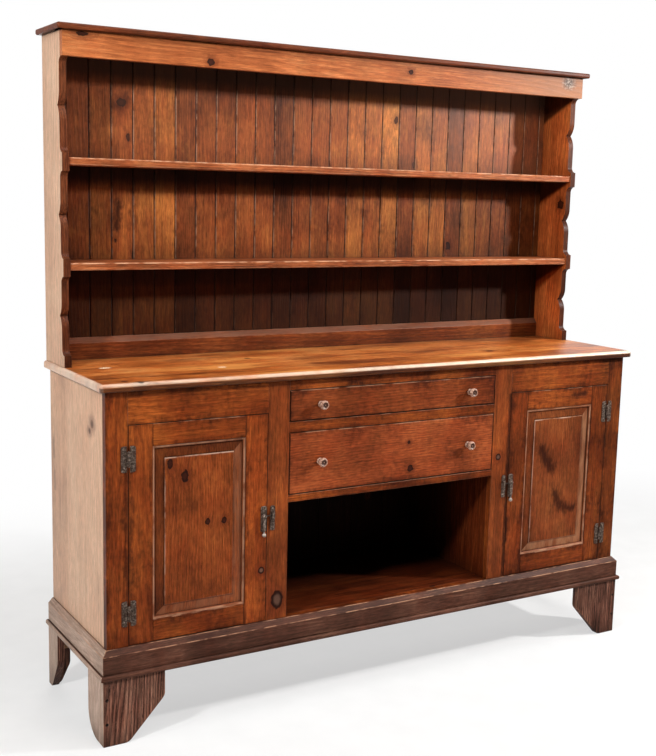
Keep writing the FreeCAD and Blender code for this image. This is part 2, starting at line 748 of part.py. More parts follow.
    # Keep on the frame
    keep_x0 = -DOOR_INNER_X + KEEP_OFFSET
    keep_x1 = keep_x0 + KEEP_W
    keep = cut_plate((keep_x0, keep_x1), (middle_z - KEEP_H / 2, middle_z + KEEP_H / 2), KEEP_T, LATCH_CORNER)
    hook_ys = (FRONT_Y, FRONT_Y - KEEP_T - KEEP_HOOK_RISE)
    hook_zs = (pivot.z - KEEP_HOOK_H / 2, pivot.z + KEEP_HOOK_H / 2)
    hook = block((hook_x, hook_x + KEEP_HOOK_W), hook_ys, hook_zs)
    slot_y = plate_y - LEVER_GAP
    slot_reach = LEVER_TONGUE_H / 2 + KEEP_SLOT_CLEARANCE
    slot = block(
        (hook_x - OVERRUN, hook_x + KEEP_SLOT_D),
        (slot_y + KEEP_SLOT_CLEARANCE, slot_y - LEVER_TONGUE_T - KEEP_SLOT_CLEARANCE),
        (pivot.z - slot_reach, pivot.z + slot_reach),
    )
    keep_x = (keep_x0 + keep_x1) / 2
    reach = KEEP_H / 2 - LATCH_SCREW_INSET
    keep_places = [at(keep_x, FRONT_Y - KEEP_T, middle_z + side * reach) for side in (-1, 1)]
    keep = with_holes(joined([keep, hook]).cut(slot), keep_places)
    frame_screw_places += keep_places

    return {
        "stiles": stiles,
        "rails": rails,
        "panel": [panel],
        "panel_bead": beads,
        "hinge_leaves": door_leaves,
        "latch_plate": [plate, rivet],
        "screws": [hardware_screw(place) for place in door_screw_places],
        "latch_lever": [lever],
        "frame_leaves": frame_leaves,
        "pins": pins,
        "keep": [keep],
        "frame_screw_places": frame_screw_places,
    }


def with_holes(shape, places):
    """A piece with a screw hole at each place."""
    return shape.cut([screw_hole(place) for place in places])


def door_lever(pivot, tongue_end):
    """A hanging latch lever: hub, tapered arm, neck and ball, and a tongue towards the keep."""
    back = pivot.y - LEVER_GAP
    front = back - LEVER_T
    middle = (back + front) / 2
    hub_back = pivot.y - LEVER_HUB_GAP
    hub = Part.makeCylinder(LEVER_HUB_R, hub_back - front, at(pivot.x, front, pivot.z), Y)
    top_w = LEVER_ARM_TOP_W / 2
    end_w = LEVER_ARM_END_W / 2
    end_z = pivot.z - LEVER_ARM_L
    outline = [(-top_w, pivot.z), (-end_w, end_z), (end_w, end_z), (top_w, pivot.z)]
    arm = prism([at(pivot.x + x, back, z) for x, z in outline], at(0, front - back, 0))
    ball_z = pivot.z - LEVER_BALL_DROP
    neck = Part.makeCylinder(LEVER_NECK_R, LEVER_BALL_DROP - LEVER_HUB_R, at(pivot.x, middle, ball_z), Z)
    ball = Part.makeSphere(LEVER_BALL_R, at(pivot.x, middle, ball_z))
    tongue = block(
        (pivot.x, tongue_end),
        (back, back - LEVER_TONGUE_T),
        (pivot.z - LEVER_TONGUE_H / 2, pivot.z + LEVER_TONGUE_H / 2),
    )
    return joined([hub, arm, neck, ball, tongue])


def drawer_pieces(level, height, tail_count):
    """Every piece of a drawer in an opening that starts at a level and has a height."""
    outer_x = RECESS_X - DRAWER_GAP
    inner_x = outer_x - DRAWER_SIDE_T
    front_back = FRONT_Y + DRAWER_FRONT_T
    end_y = BOARD_FRONT_Y - DRAWER_BACK_GAP
    low = level + DRAWER_SEAT
    high = level + height - DRAWER_TOP_GAP
    bottom_z = low + DRAWER_BOTTOM_LIFT
    bottom_top = bottom_z + DRAWER_BOTTOM_T
    reach = inner_x + DRAWER_BOTTOM_LET_IN
    bottom = block((-reach, reach), (front_back - DRAWER_BOTTOM_LET_IN, end_y), (bottom_z, bottom_top))

    # Tails on the sides, let into the back of the front
    pitch = (high - low) / tail_count
    root = pitch * DOVETAIL_W_SHARE / 2
    tails = []
    for i in range(tail_count):
        z = low + pitch * (i + 0.5)
        wide = root + DOVETAIL_FLARE
        outline = [
            (front_back, z - root),
            (front_back - DOVETAIL_L, z - wide),
            (front_back - DOVETAIL_L, z + wide),
            (front_back, z + root),
        ]
        tails.append(prism([at(inner_x, y, level_z) for y, level_z in outline], X * DRAWER_SIDE_T))
    board = block((inner_x, outer_x), (front_back, end_y), (low, high))
    side = joined([board] + tails).cut(bottom)
    sides = pair(side)

    knob_z = level + height / 2
    knob_x = RECESS_X - KNOB_INSET
    knob = turned(knob_profile(), at(knob_x, FRONT_Y, knob_z))
    stem_r = KNOB_STEM_R + KNOB_STEM_CLEARANCE
    stem_hole = bore_along_y(at(knob_x, FRONT_Y, knob_z), stem_r, -OVERRUN, KNOB_STEM_L + KNOB_STEM_CLEARANCE)
    front_zs = (level + DRAWER_GAP, level + height - DRAWER_GAP)
    front = block((-outer_x, outer_x), (FRONT_Y, front_back), front_zs)
    front = front.cut(sides + [bottom] + pair(stem_hole))
    back = block((-inner_x, inner_x), (end_y - DRAWER_BACK_T, end_y), (bottom_top, high))
    return {"front": [front], "sides": sides, "back": [back], "bottom": [bottom], "knobs": pair(knob)}


def knob_profile():
    """The turned outline of a knob, from the end of its stem to the middle of its face."""
    profile = [(0, -KNOB_STEM_L), (KNOB_STEM_R, -KNOB_STEM_L), (KNOB_STEM_R, 0), (KNOB_COLLAR_R, 0)]
    profile += [(KNOB_COLLAR_R * r, KNOB_COLLAR_T * h) for r, h in KNOB_COLLAR_SHARES]
    neck_end = KNOB_COLLAR_T + KNOB_NECK_L
    profile += [(KNOB_NECK_R, KNOB_COLLAR_T), (KNOB_NECK_R, neck_end)]
    return profile + [(KNOB_R * r, neck_end + KNOB_HEAD_T * h) for r, h in KNOB_HEAD_SHARES]


# Hinge axis of the left-hand door
HINGE_X = -DOOR_OUTER_X + DOOR_GAP / 2
HINGE_Y = FRONT_Y - HINGE_STANDOFF - HINGE_R

os.makedirs("parts", exist_ok=True)

# Doors, with their hinges and latches
door = door_pieces()
for side_name, turn in (("left", list), ("right", lambda solids: [mirrored(item) for item in solids])):
    for piece in ("stiles", "rails", "panel", "panel_bead", "hinge_leaves", "screws"):
        save(side_name + "_door_" + piece, turn(door[piece]))
    for piece in ("latch_plate", "latch_lever"):
        save(side_name + "_" + piece, turn(door[piece]))
frame_screw_places = door["frame_screw_places"]
frame_screws = [hardware_screw(place) for place in frame_screw_places]
for node, piece in (("hinge_frame_leaves", "frame_leaves"), ("hinge_pins", "pins"), ("latch_keeps", "keep")):
    save(node, [item for solid in door[piece] for item in pair(solid)])
save("frame_screws", [item for screw in frame_screws for item in pair(screw)])

# Drawers
for node, level, height, tail_count in (
    ("upper_drawer", UPPER_DRAWER_Z, UPPER_DRAWER_H, UPPER_DOVETAIL_COUNT),
    ("lower_drawer", LOWER_DRAWER_Z, LOWER_DRAWER_H, LOWER_DOVETAIL_COUNT),
):
    for piece, solids in drawer_pieces(level, height, tail_count).items():
        save(node + "_" + piece, solids)

# Face frame
bottom_rail = frame_rail(-DOOR_OUTER_X, DOOR_OUTER_X, SHOE_TOP, FLOOR_TOP)
head_rails = pair(frame_rail(DOOR_INNER_X, DOOR_OUTER_X, DOOR_HEAD_Z, CARCASS_TOP))
drawer_rails = [
    frame_rail(-RECESS_X, RECESS_X, low, high)
    for low, high in (
        (CEILING_BOTTOM, LOWER_DRAWER_Z),
        (MIDDLE_RAIL_Z, UPPER_DRAWER_Z),
        (TOP_RAIL_Z, CARCASS_TOP),
    )
]
rails = [bottom_rail] + head_rails + drawer_rails
frame_ys = (FRONT_Y, FRAME_BACK_Y)
outer_stile = block((-CARCASS_X, -DOOR_OUTER_X), frame_ys, (SHOE_TOP, CARCASS_TOP)).cut(rails)
stile_tenon = block(
    (-DOOR_INNER_X + TENON_SHOULDER, -RECESS_X - TENON_SHOULDER),
    (FRONT_Y + (FRAME_T - TENON_T) / 2, FRONT_Y + (FRAME_T + TENON_T) / 2),
    (FLOOR_TOP - TENON_L, FLOOR_TOP),
)
inner_stile = block((-DOOR_INNER_X, -RECESS_X), frame_ys, (FLOOR_TOP, CARCASS_TOP)).cut(rails)
inner_stile = joined([inner_stile, stile_tenon])
bottom_rail = bottom_rail.cut(pair(stile_tenon))
save("outer_stiles", pair(with_holes(outer_stile, frame_screw_places)))
save("inner_stiles", pair(with_holes(inner_stile, frame_screw_places)))
save("door_head_rails", head_rails)
save("drawer_rails", drawer_rails)
save("bottom_rail", [bottom_rail])

# Carcass behind the face frame
inside_ys = (FRAME_BACK_Y, BOARD_FRONT_Y)
floor_x = SIDE_INNER_X + HOUSING_D
floor = block((-floor_x, floor_x), inside_ys, (FLOOR_TOP - FLOOR_T, FLOOR_TOP))
ceiling_x = RECESS_X + HOUSING_D
ceiling = block((-ceiling_x, ceiling_x), inside_ys, (CEILING_BOTTOM, LOWER_DRAWER_Z))
partition = block((RECESS_X, RECESS_X + PARTITION_T), inside_ys, (FLOOR_TOP - HOUSING_D, CARCASS_TOP))
partitions = pair(partition.cut(ceiling))
base_side = block((SIDE_INNER_X, CARCASS_X), (FRAME_BACK_Y, BACK_Y), (SHOE_TOP, CARCASS_TOP))
base_side = base_side.cut(floor).cut(rebate(SIDE_INNER_X, SHOE_TOP, CARCASS_TOP))
save("base_side_right", [base_side])
save("base_side_left", [mirrored(base_side)])
save("base_floor", [floor.cut(partitions)])
save("partitions", partitions)
save("recess_ceiling", [ceiling])
base_half = SIDE_INNER_X + BACK_REBATE_W
base_boards = planks(BASE_BOARD_COUNT, BASE_END_BOARD_SHARES, base_half, SHOE_TOP, CARCASS_TOP)
save("base_back_boards", base_boards)

# Drawer runners, tilt strips and stops
runner_xs = (RECESS_X - RUNNER_W, RECESS_X)
runner = block(runner_xs, inside_ys, (MIDDLE_RAIL_Z, UPPER_DRAWER_Z))
tilt_strip = block(runner_xs, inside_ys, (TOP_RAIL_Z, CARCASS_TOP))
save("drawer_runners", pair(runner) + pair(tilt_strip))
stop_ys = (BOARD_FRONT_Y - DRAWER_BACK_GAP + STOP_GAP, BOARD_FRONT_Y)
stops = []
for level in (LOWER_DRAWER_Z, UPPER_DRAWER_Z):
    stops += pair(block((RECESS_X - STOP_W, RECESS_X), stop_ys, (level, level + STOP_H)))
save("drawer_stops", stops)

# Counter, and the dowels that hold the rack on it
counter = nosed_board(
    (-COUNTER_X, COUNTER_X),
    (FRONT_Y - COUNTER_OVERHANG, BACK_Y),
    (CARCASS_TOP, COUNTER_TOP),
    COUNTER_CORNER_R,
    COUNTER_NOSE_R,
    COUNTER_ARRIS,
)
dowels = []
dowel_holes = []
for y in (RACK_FRONT_Y + DOWEL_INSET, BACK_Y - DOWEL_INSET):
    foot = at(RACK_X - RACK_SIDE_T / 2, y, COUNTER_TOP - DOWEL_L / 2)
    dowels += pair(Part.makeCylinder(DOWEL_R, DOWEL_L, foot, Z))
    hole_foot = foot - Z * DOWEL_CLEARANCE
    hole_l = DOWEL_L + 2 * DOWEL_CLEARANCE
    dowel_holes += pair(Part.makeCylinder(DOWEL_R + DOWEL_CLEARANCE, hole_l, hole_foot, Z))
save("counter_top", [counter.cut(dowel_holes)])
save("rack_dowels", dowels)

# Rack
upper_shelf = shelf_at(UPPER_SHELF_Z)
lower_shelf = shelf_at(LOWER_SHELF_Z)
rack_side = rack_side_blank().cut([upper_shelf, lower_shelf] + dowel_holes)
rack_side = rack_side.cut(rebate(RACK_INNER_X, COUNTER_TOP, RACK_TOP))
save("rack_side_right", [rack_side])
save("rack_side_left", [mirrored(rack_side)])
save("upper_shelf", [upper_shelf])
save("lower_shelf", [lower_shelf])
save("frieze", [block((-RACK_X, RACK_X), (FRIEZE_FRONT_Y, FRIEZE_BACK_Y), (FRIEZE_Z, RACK_TOP))])
cornice_x = RACK_X + CORNICE_OVERHANG
cornice = nosed_board(
    (-cornice_x, cornice_x),
    (FRIEZE_FRONT_Y - CORNICE_OVERHANG, BACK_Y),
    (RACK_TOP, RACK_TOP + CORNICE_T),
    CORNICE_NOSE_R,
    CORNICE_NOSE_R,
    CORNICE_NOSE_R,
)
save("cornice", [cornice])
section = chamfered_section(PLATE_RAIL_T, PLATE_RAIL_H, PLATE_RAIL_CHAMFER_H, PLATE_RAIL_TOP_FLAT)
rail_start = at(-RACK_INNER_X, BOARD_FRONT_Y - PLATE_RAIL_T, COUNTER_TOP)
save("plate_rail", [moulding(section, 2 * RACK_INNER_X, rail_start, X, Y, (False, False))])
rack_half = RACK_INNER_X + BACK_REBATE_W
rack_boards = planks(RACK_BOARD_COUNT, RACK_END_BOARD_SHARES, rack_half, COUNTER_TOP, RACK_TOP)
save("rack_back_boards", rack_boards)

# Plinth and shoe moulding
section = chamfered_section(PLINTH_T, PLINTH_H, PLINTH_CHAMFER_H, PLINTH_TOP_FLAT)
plinth_front, plinth_left, plinth_right = skirt(section, PLINTH_X, PLINTH_Y, SHOE_TOP)
save("plinth_front", [plinth_front])
save("plinth_returns", [plinth_left, plinth_right])
section = round_section(SHOE_W, SHOE_T, SHOE_EDGE_R, SHOE_ROUND_STEPS)
back_shoe = block((-SHOE_X + SHOE_W, SHOE_X - SHOE_W), (BACK_Y - SHOE_W, BACK_Y), (FOOT_H, SHOE_TOP))
save("shoe_moulding", skirt(section, SHOE_X, SHOE_Y, FOOT_H) + [back_shoe])

# Feet
front_corner = at(PLINTH_X, PLINTH_Y, 0)
rear_corner = at(PLINTH_X, BACK_Y, 0)
front_bracket = bracket(
    front_corner,
    -X,
    Y,
    FOOT_FRONT_TOE,
    FOOT_FRONT_TOE_R,
    FOOT_FRONT_W,
    FOOT_FRONT_KNEE_H,
    FOOT_FRONT_KNEE_R,
)
rear_bracket = bracket(
    rear_corner,
    -X,
    -Y,
    REAR_FOOT_BACK_TOE,
    REAR_FOOT_BACK_TOE_R,
    REAR_FOOT_BACK_W,
    REAR_FOOT_BACK_KNEE_H,
    REAR_FOOT_BACK_KNEE_R,
)
side_y0 = PLINTH_Y + BRACKET_T
side_y1 = PLINTH_Y + FOOT_SIDE_W
outline = [
    (at(PLINTH_X, side_y0, 0), 0),
    (at(PLINTH_X, side_y1, 0), FOOT_SIDE_R),
    (at(PLINTH_X, side_y1, FOOT_H), 0),
    (at(PLINTH_X, side_y0, FOOT_H), 0),
]
front_side = rounded_face(outline).extrude(-X * BRACKET_T)
rear_side = bracket(
    rear_corner - Y * BRACKET_T,
    -Y,
    -X,
    REAR_FOOT_SIDE_TOE,
    REAR_FOOT_SIDE_TOE_R,
    REAR_FOOT_SIDE_W,
    REAR_FOOT_SIDE_KNEE_H,
    REAR_FOOT_SIDE_KNEE_R,
)
block_xs = (PLINTH_X - BRACKET_T - FOOT_BLOCK_W, PLINTH_X - BRACKET_T)
block_zs = (FOOT_H - FOOT_BLOCK_H, FOOT_H)
rear_y = BACK_Y - BRACKET_T
foot_blocks = [
    block(block_xs, (side_y0, side_y0 + FOOT_BLOCK_W), block_zs),
    block(block_xs, (rear_y - FOOT_BLOCK_W, rear_y), block_zs),
]
foot_screws = []
foot_screw_holes = []
for face_y, turn in ((PLINTH_Y, 0), (BACK_Y, 180)):
    inward = 1 if turn == 0 else -1
    for z in (FOOT_SCREW_TOE_INSET, FOOT_H - FOOT_SCREW_TOP_INSET):
        place = at(PLINTH_X - BRACKET_T / 2, face_y + inward * FOOT_SCREW_SINK, z)
        screw = screw_at(
            place,
            FOOT_SCREW_R,
            FOOT_SCREW_L,
            FOOT_SCREW_HEAD_R,
            FOOT_SCREW_HEAD_T,
            FOOT_SCREW_SLOT_W,
            FOOT_SCREW_SLOT_D,
        )
        foot_screws.append(screw.rotated(place, Z, turn))
        hole_r = FOOT_SCREW_R + SCREW_CLEARANCE
        hole = bore_along_y(place, hole_r, 0, FOOT_SCREW_L + SCREW_CLEARANCE)
        sink_r = FOOT_SCREW_HEAD_R + SCREW_CLEARANCE
        sinking = bore_along_y(place, sink_r, -FOOT_SCREW_SINK - OVERRUN, SCREW_CLEARANCE)
        foot_screw_holes += [hole.rotated(place, Z, turn), sinking.rotated(place, Z, turn)]
front_foot = [front_bracket.cut(foot_screw_holes), front_side.cut(foot_screw_holes)]
rear_foot = [rear_bracket.cut(foot_screw_holes), rear_side.cut(foot_screw_holes)]
save("front_feet", [item for solid in front_foot for item in pair(solid)])
save("back_feet", [item for solid in rear_foot for item in pair(solid)])
save("foot_blocks", [item for solid in foot_blocks for item in pair(solid)])
save("foot_screws", [item for screw in foot_screws for item in pair(screw)])
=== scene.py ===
"""Welsh dresser in old red-brown pine: the looks of every board, knob, hinge and latch, and its studio.

Lengths are metres. +X runs to the viewer's right, +Y to the back, +Z up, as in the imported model.
"""
import json
import math

import bmesh
import bpy
from mathutils import Matrix, Vector

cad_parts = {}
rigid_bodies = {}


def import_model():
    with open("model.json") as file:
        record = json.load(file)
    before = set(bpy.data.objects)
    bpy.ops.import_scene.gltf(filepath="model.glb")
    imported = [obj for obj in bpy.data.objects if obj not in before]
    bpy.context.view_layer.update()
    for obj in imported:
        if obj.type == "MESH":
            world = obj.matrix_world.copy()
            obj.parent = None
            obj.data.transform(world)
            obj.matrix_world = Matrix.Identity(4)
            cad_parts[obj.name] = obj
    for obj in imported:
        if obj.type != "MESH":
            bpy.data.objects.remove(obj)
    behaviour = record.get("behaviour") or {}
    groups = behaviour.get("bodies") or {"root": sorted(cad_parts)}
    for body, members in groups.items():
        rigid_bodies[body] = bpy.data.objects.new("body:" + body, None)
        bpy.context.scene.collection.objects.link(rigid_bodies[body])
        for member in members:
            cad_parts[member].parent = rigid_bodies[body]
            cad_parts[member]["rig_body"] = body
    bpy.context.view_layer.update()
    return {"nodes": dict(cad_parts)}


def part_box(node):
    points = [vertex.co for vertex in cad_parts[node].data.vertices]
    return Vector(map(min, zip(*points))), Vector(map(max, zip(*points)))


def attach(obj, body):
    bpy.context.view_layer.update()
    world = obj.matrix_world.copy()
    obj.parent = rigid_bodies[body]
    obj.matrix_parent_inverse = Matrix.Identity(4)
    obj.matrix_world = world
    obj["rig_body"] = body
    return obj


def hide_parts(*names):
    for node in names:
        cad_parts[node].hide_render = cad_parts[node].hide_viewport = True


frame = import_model()

# Joining the corners of the solids and easing their edges
SAME_POINT = 0.00001
BENT_GAP = 0.000002
FLAT_ANGLE = math.radians(0.5)
SHARP_ANGLE = math.radians(32)
EASE_SEGMENTS = 2

# Edges shorter than this stay sharp: on boards, on curved boards, on iron, on the latch keeps
LONG_EDGE = 0.012
CURVE_EDGE = 0.0018
IRON_EDGE = 0.0005
KEEP_EDGE = 0.018

# How far the edges of each kind of piece are eased
FRAME_EASE = 0.0008
DOOR_EASE = 0.0016
PANEL_EASE = 0.0010
DRAWER_EASE = 0.0024
PLINTH_EASE = 0.0014
FOOT_EASE = 0.0016
PLANK_EASE = 0.0006
SEAM_EASE = 0.0012
SHELF_EASE = 0.0020
IRON_EASE = 0.0004
SCREW_EASE = 0.0002

# How far a face has to turn to count as one that looks straight to the front, to the back, out, up, or aside,
# and how far the slope of a raised field leans
LOOKS_STRAIGHT = 0.95
LOOKS_BACK = 0.9
LOOKS_OUT = 0.5
LOOKS_UP = 0.2
LOOKS_ASIDE = 0.2
SLOPE_LEAN = 0.03

# How pale the eased edges are, with wear and painted highlight, those that look up and the others,
# and how much painted shade the edges round doors and drawers take
TOP_ARRIS_WEAR_AND_HIGHLIGHT = 1.0
SIDE_ARRIS_WEAR_AND_HIGHLIGHT = 0.45
GAP_SHADE = 0.85

# Growth of the pine
RING_W = 0.0062
PITH_DEPTH = 0.05
PITH_DEPTH_SPREAD = 0.10
PITH_SIDE_SPREAD = 0.12
PITH_SLOPE_SPREAD = 0.10
GRAIN_DRIFT = 0.028
KNOT_CELL = 0.21
KNOT_CELL_STRETCH = 0.7
KNOT_R_MIN = 0.003
KNOT_R_MAX = 0.010
KNOT_SWELL = 0.007
LATE_WOOD_RISE = (0.25, 0.85)
LATE_WOOD_FALL = (1.0, 0.86)

# Glued-up boards: how wide each strip of a wide panel is, and how its pattern is shifted
PANEL_STRIP_W = 0.135
COUNTER_STRIP_W = 0.147
STRIP_STEP = 0.377
STRIP_SHIFT = (7.0, 3.0, 0.0)

# A gap beyond every board, and what all noises have in common
NO_LIMIT = 1000.0
NOISE_MIDDLE = 0.5
NOISE_ROUGHNESS = 0.55

# In all groups below, a set of two or four says between which values something grows, and then from how
# much to how much, where that isn't 0 to 1

# Patterns of the finishes: how often they change along each axis, and how fine they are
DRIFT = ((1.3, 8.0, 8.0), 2.0)
STREAKS = ((8.0, 230.0, 230.0), 4.0)
BANDS = ((2.5, 45.0, 45.0), 3.0)
FIBRES = ((34.0, 1100.0, 1100.0), 2.0)
PORES = ((46.0, 310.0, 310.0), 3.0)
BLOTCHES = ((6.0, 6.0, 4.5), 6.0)
RAGGED_RIMS = ((110.0, 110.0, 110.0), 2.0)
TORN_SMEARS = ((150.0, 150.0, 60.0), 4.0)
MOTTLES = ((85.0, 85.0, 60.0), 5.0)
CLOUDS = ((13.0, 13.0, 9.0), 3.0)
OLD_POLISH = ((15.0, 15.0, 9.0), 3.0)
COUNTER_CLOUDS = ((3.2, 13.0, 13.0), 6.0)
BURR_MOTTLES = ((130.0, 130.0, 130.0), 4.0)
IRON_MOTTLES = ((190.0, 190.0, 190.0), 3.0)
KNOB_STREAKS = ((260.0, 40.0, 260.0), 3.0)
FLOOR_MOTTLES = ((9.0, 9.0, 9.0), 3.0)

# Patches: their pattern, between which of its values they grow, and from how much to how much
FLECKS = (((26.0, 420.0, 420.0), 2.0), 0.60, 0.72)
ARRIS_RUB = (((28.0, 28.0, 28.0), 3.0), 0.36, 0.62)
IRON_RUST = (((60.0, 60.0, 60.0), 4.0), 0.45, 0.68)
SLOPE_LIGHT_AND_DUST_PATCHES = (((60.0, 60.0, 14.0), 3.0), 0.3, 0.65, 0.12, 0.5)
FIELD_RIM_WEAR_AND_HIGHLIGHT_PATCHES = (((22.0, 22.0, 22.0), 3.0), 0.36, 0.56)
BEAD_CREST_WEAR_AND_HIGHLIGHT_PATCHES = (((24.0, 24.0, 24.0), 3.0), 0.34, 0.62, 0.12, 0.62)
RAIL_SHEEN_AND_DUST_PATCHES = (((12.0, 60.0, 60.0), 4.0), 0.3, 0.65, 0.3, 0.65)
COUNTER_HIGHLIGHT_PATCHES = (((14.0, 14.0, 14.0), 4.0), 0.3, 0.6, 0.5, 0.92)

# Knots, in knot sizes from their middle: where core, heart and halo begin and are full, and how strong
KNOT_CORE = (1.06, 0.9)
KNOT_HEART = (0.75, 0.35)
KNOT_HALO = (3.2, 0.9)
HALO_SHARE = 0.5
HEART_SHARE = 0.28
GREY_HEART_SHARE = 0.9
RIM_NOISE = (0.2, 0.8)
KNOT_RAGGED = 0.25
GREY_KNOT_RAGGED = 0.1

# Smears, in half widths: how torn they are, where they begin and where they are full, and how strong
SMEAR_TORN = 2.2
SMEAR_REACH = (2.5, 1.1)
SMEAR_SHARE = 0.9

# How much each pattern moves the tone of the wood, and where its three tones stand
BLOTCH_SHARE = 0.75
STREAK_SHARE = 0.85
BAND_SHARE = 0.55
FLECK_SHARE = 1.5
TONE_STOPS = (0.12, 0.5, 0.88)
FIBRE_SHADE = (0.25, 0.75, 0.76, 1.18)
PORE_NOISE = (0.28, 0.72)
PORE_LEAST = 0.06
PORE_MORE = 0.44

# Old polish, worn to darker and lighter patches, and dark along the edges of each board
PATINA_MOTTLE = 0.45
PATINA_CLOUD = 0.55
PATINA_DARK = (0.52, 0.30)
PATINA_DARK_SHARE = 1.4
PATINA_LIGHT = (0.52, 0.72)
PATINA_LIGHT_SHARE = 0.7
PATINA_EDGE = (0.013, -0.004)
PATINA_EDGE_SHARE = 1.3
PATINA_EDGE_WANDER = 0.06

# Dirt and painted shade in corners: how far it looks for another face, how open a spot is where it begins
# and where it is full
NEAR_DIRT_AND_SHADE = (0.018, 0.75, 0.2)
WIDE_DIRT_AND_SHADE = (0.08, 0.95, 0.45)
IRON_DIRT_AND_SHADE = (0.006, 0.7, 0.2)
KNOB_DIRT_AND_SHADE = (0.008, 0.7, 0.2)
FITTING_DIRT_AND_SHADE_SHARE = 0.8
DIRT_SAMPLES = 6

# Roughness and relief of the wood
BLOTCH_ROUGHNESS = 0.16
FIBRE_ROUGHNESS = 0.10
KNOT_ROUGHNESS = 0.12
STREAK_HEIGHT = 0.5
FIBRE_HEIGHT = 0.4
RING_HEIGHT = 0.45
WOOD_RELIEF = 0.0007
RELIEF_STRENGTH = 0.5

# Hammered iron and turned knobs
HAMMER_MARKS = 330.0
RUST_SHARE = 0.55
IRON_ROUGHNESS = (0.3, 0.7, 0.55, 0.34)
DENT_HEIGHT = 1.0
IRON_MOTTLE_HEIGHT = 0.3
IRON_RELIEF = 0.0008
IRON_METALLIC = 0.4
RUBBED_STOPS = (0.3, 0.5, 0.72)
KNOB_PATCHY = 0.5
KNOB_DARK = (0.2, 0.8, 0.0, 0.92)
KNOB_ROUGHNESS = (0.3, 0.7, 0.22, 0.36)
KNOB_RELIEF = 0.0003
KNOB_SHINE = 0.5

# The latch lever: the height of its tip, and where its tongue leaves the plate
LEVER_TIP_Z = 0.486
LEVER_TIP_FADE = 0.003
LEVER_TIP_SHARE = 0.6
LEVER_TONGUE_X = 0.3995
LEVER_TONGUE_FADE = 0.001
LEVER_TONGUE_SHARE = 0.85

# Raised fields of the panels: how far in they stand, and the dirt and the rim, pale with wear and painted
# highlight, beside their edge; and the painted shade on their slopes
FIELD_INSET = 0.038
FIELD_DIRT_W = 0.005
FIELD_DIRT_SHARE = 0.55
FIELD_RIM_W = 0.0045
FIELD_LEFT_RIM_SHARE = 0.4
FIELD_TOP_RIM_SHARE = 0.9
FIELD_SHADE = 0.5
RIGHT_FIELD_SHADE = 0.12

# Beads round the panels: their crest, pale with wear and painted highlight, and their foot
BEAD_CREST_Y = -0.1966
BEAD_CREST_W = 0.0024
BEAD_FOOT_Y = -0.1922
BEAD_FOOT_W = 0.0016
BEAD_DIRT_SHARE = 0.85

# Where the front gets browner, where the paler latch stile of the left door begins, and how far the tone of
# one board runs into the next at a joint
BROWN_END_X = 0.69
BROWN_END_W = 0.1
BROWN_END_GAIN = (0.66, 0.72, 0.80, 1.0)
LATCH_STILE_X = -0.458
LATCH_STILE_GAIN = (1.32, 1.32, 1.32, 1.0)
JOINT_W = 0.002

# Where the slope of the plate rail begins
RAIL_SLOPE_Z = 0.9445
RAIL_SLOPE_FADE = 0.001

# The inside of the carcass: from where to where painted shade darkens it, and how much in the recess and in
# the cupboards
INSIDE_FRONT_Y = -0.16
INSIDE_BACK_Y = 0.08
RECESS_X = 0.340
RECESS_DARK = 0.8
CUPBOARD_DARK = 0.35
CUPBOARD_PALE = 0.7

# The counter: its clouds of polish, painted highlight along its nose and painted sheen on its ends, duller at
# the left, and painted shade on the underside of its nose
COUNTER_DARK_CLOUDS = (0.52, 0.34, 0.0, 0.8)
COUNTER_PALE_CLOUDS = (0.56, 0.70, 0.0, 0.55)
COUNTER_END_X = 0.839
COUNTER_END_SHEEN = 0.85
COUNTER_NOSE_Y = -0.204
COUNTER_NOSE_Z = 0.891
COUNTER_NOSE_SHADE = 0.78
COUNTER_BAND = 0.004
COUNTER_HIGHLIGHT_X = (-0.70, 0.10, 0.6, 1.0)
COUNTER_BARE = (1.2, 0.7)
COUNTER_KNOT_CORE = (1.1, 0.7, 0.0, 0.85)

# The frieze: where painted glare pales it, and its burr in burr sizes
FRIEZE_GLARE_X = (0.30, 0.82, 0.0, 0.7)
BURR_REACH = (1.3, 0.3)
BURR_SHARE = 0.9
BURR_STOPS = (0.38, 0.5, 0.65)

# Back boards with painted shade: painted shadows under frieze and shelves, from the height where each fades,
# how far down, and where it ends above; then how much painted shade each bay and each end of the rack takes,
# as painted shadows of the rack sides at the ends, and the dust and painted light in the uppermost bay
SHADED_BAYS = ((1.680, 0.085, 1.75), (1.409, 0.095, 1.409), (1.147, 0.16, 1.147))
PAINTED_SHADOW_BAND = 0.93
BAND_FULL_SHARE = 0.25
BAY_FADE = 0.01
MIDDLE_BAY_TOP = 1.415
MIDDLE_BAY_SHADE = 0.28
LOWER_BAY_TOP = 1.150
LOWER_BAY_SHADE = (-0.4, 0.0, 0.87, 0.91)
LEFT_BOARDS_SHADOW = (-0.64, -0.67, 0.0, 0.26)
RIGHT_BOARDS_SHADOW = (0.10, 0.60, 0.0, 0.40)
UPPER_BAY_LIGHT_AND_DUST = (-0.2, 0.7, 0.10, 0.28)

# Painted shadows of the frieze and the shelves on the right rack side: the height and the front of what is
# above, and where they end
CORNER_SHADOWS = ((1.670, 0.0605, 1.75), (1.409, 0.0745, 1.409), (1.147, 0.0745, 1.147))
CORNER_SLOPE = 0.5
CORNER_FADE = (-0.006, 0.012)
CORNER_SHADOW_SHARE = 0.86

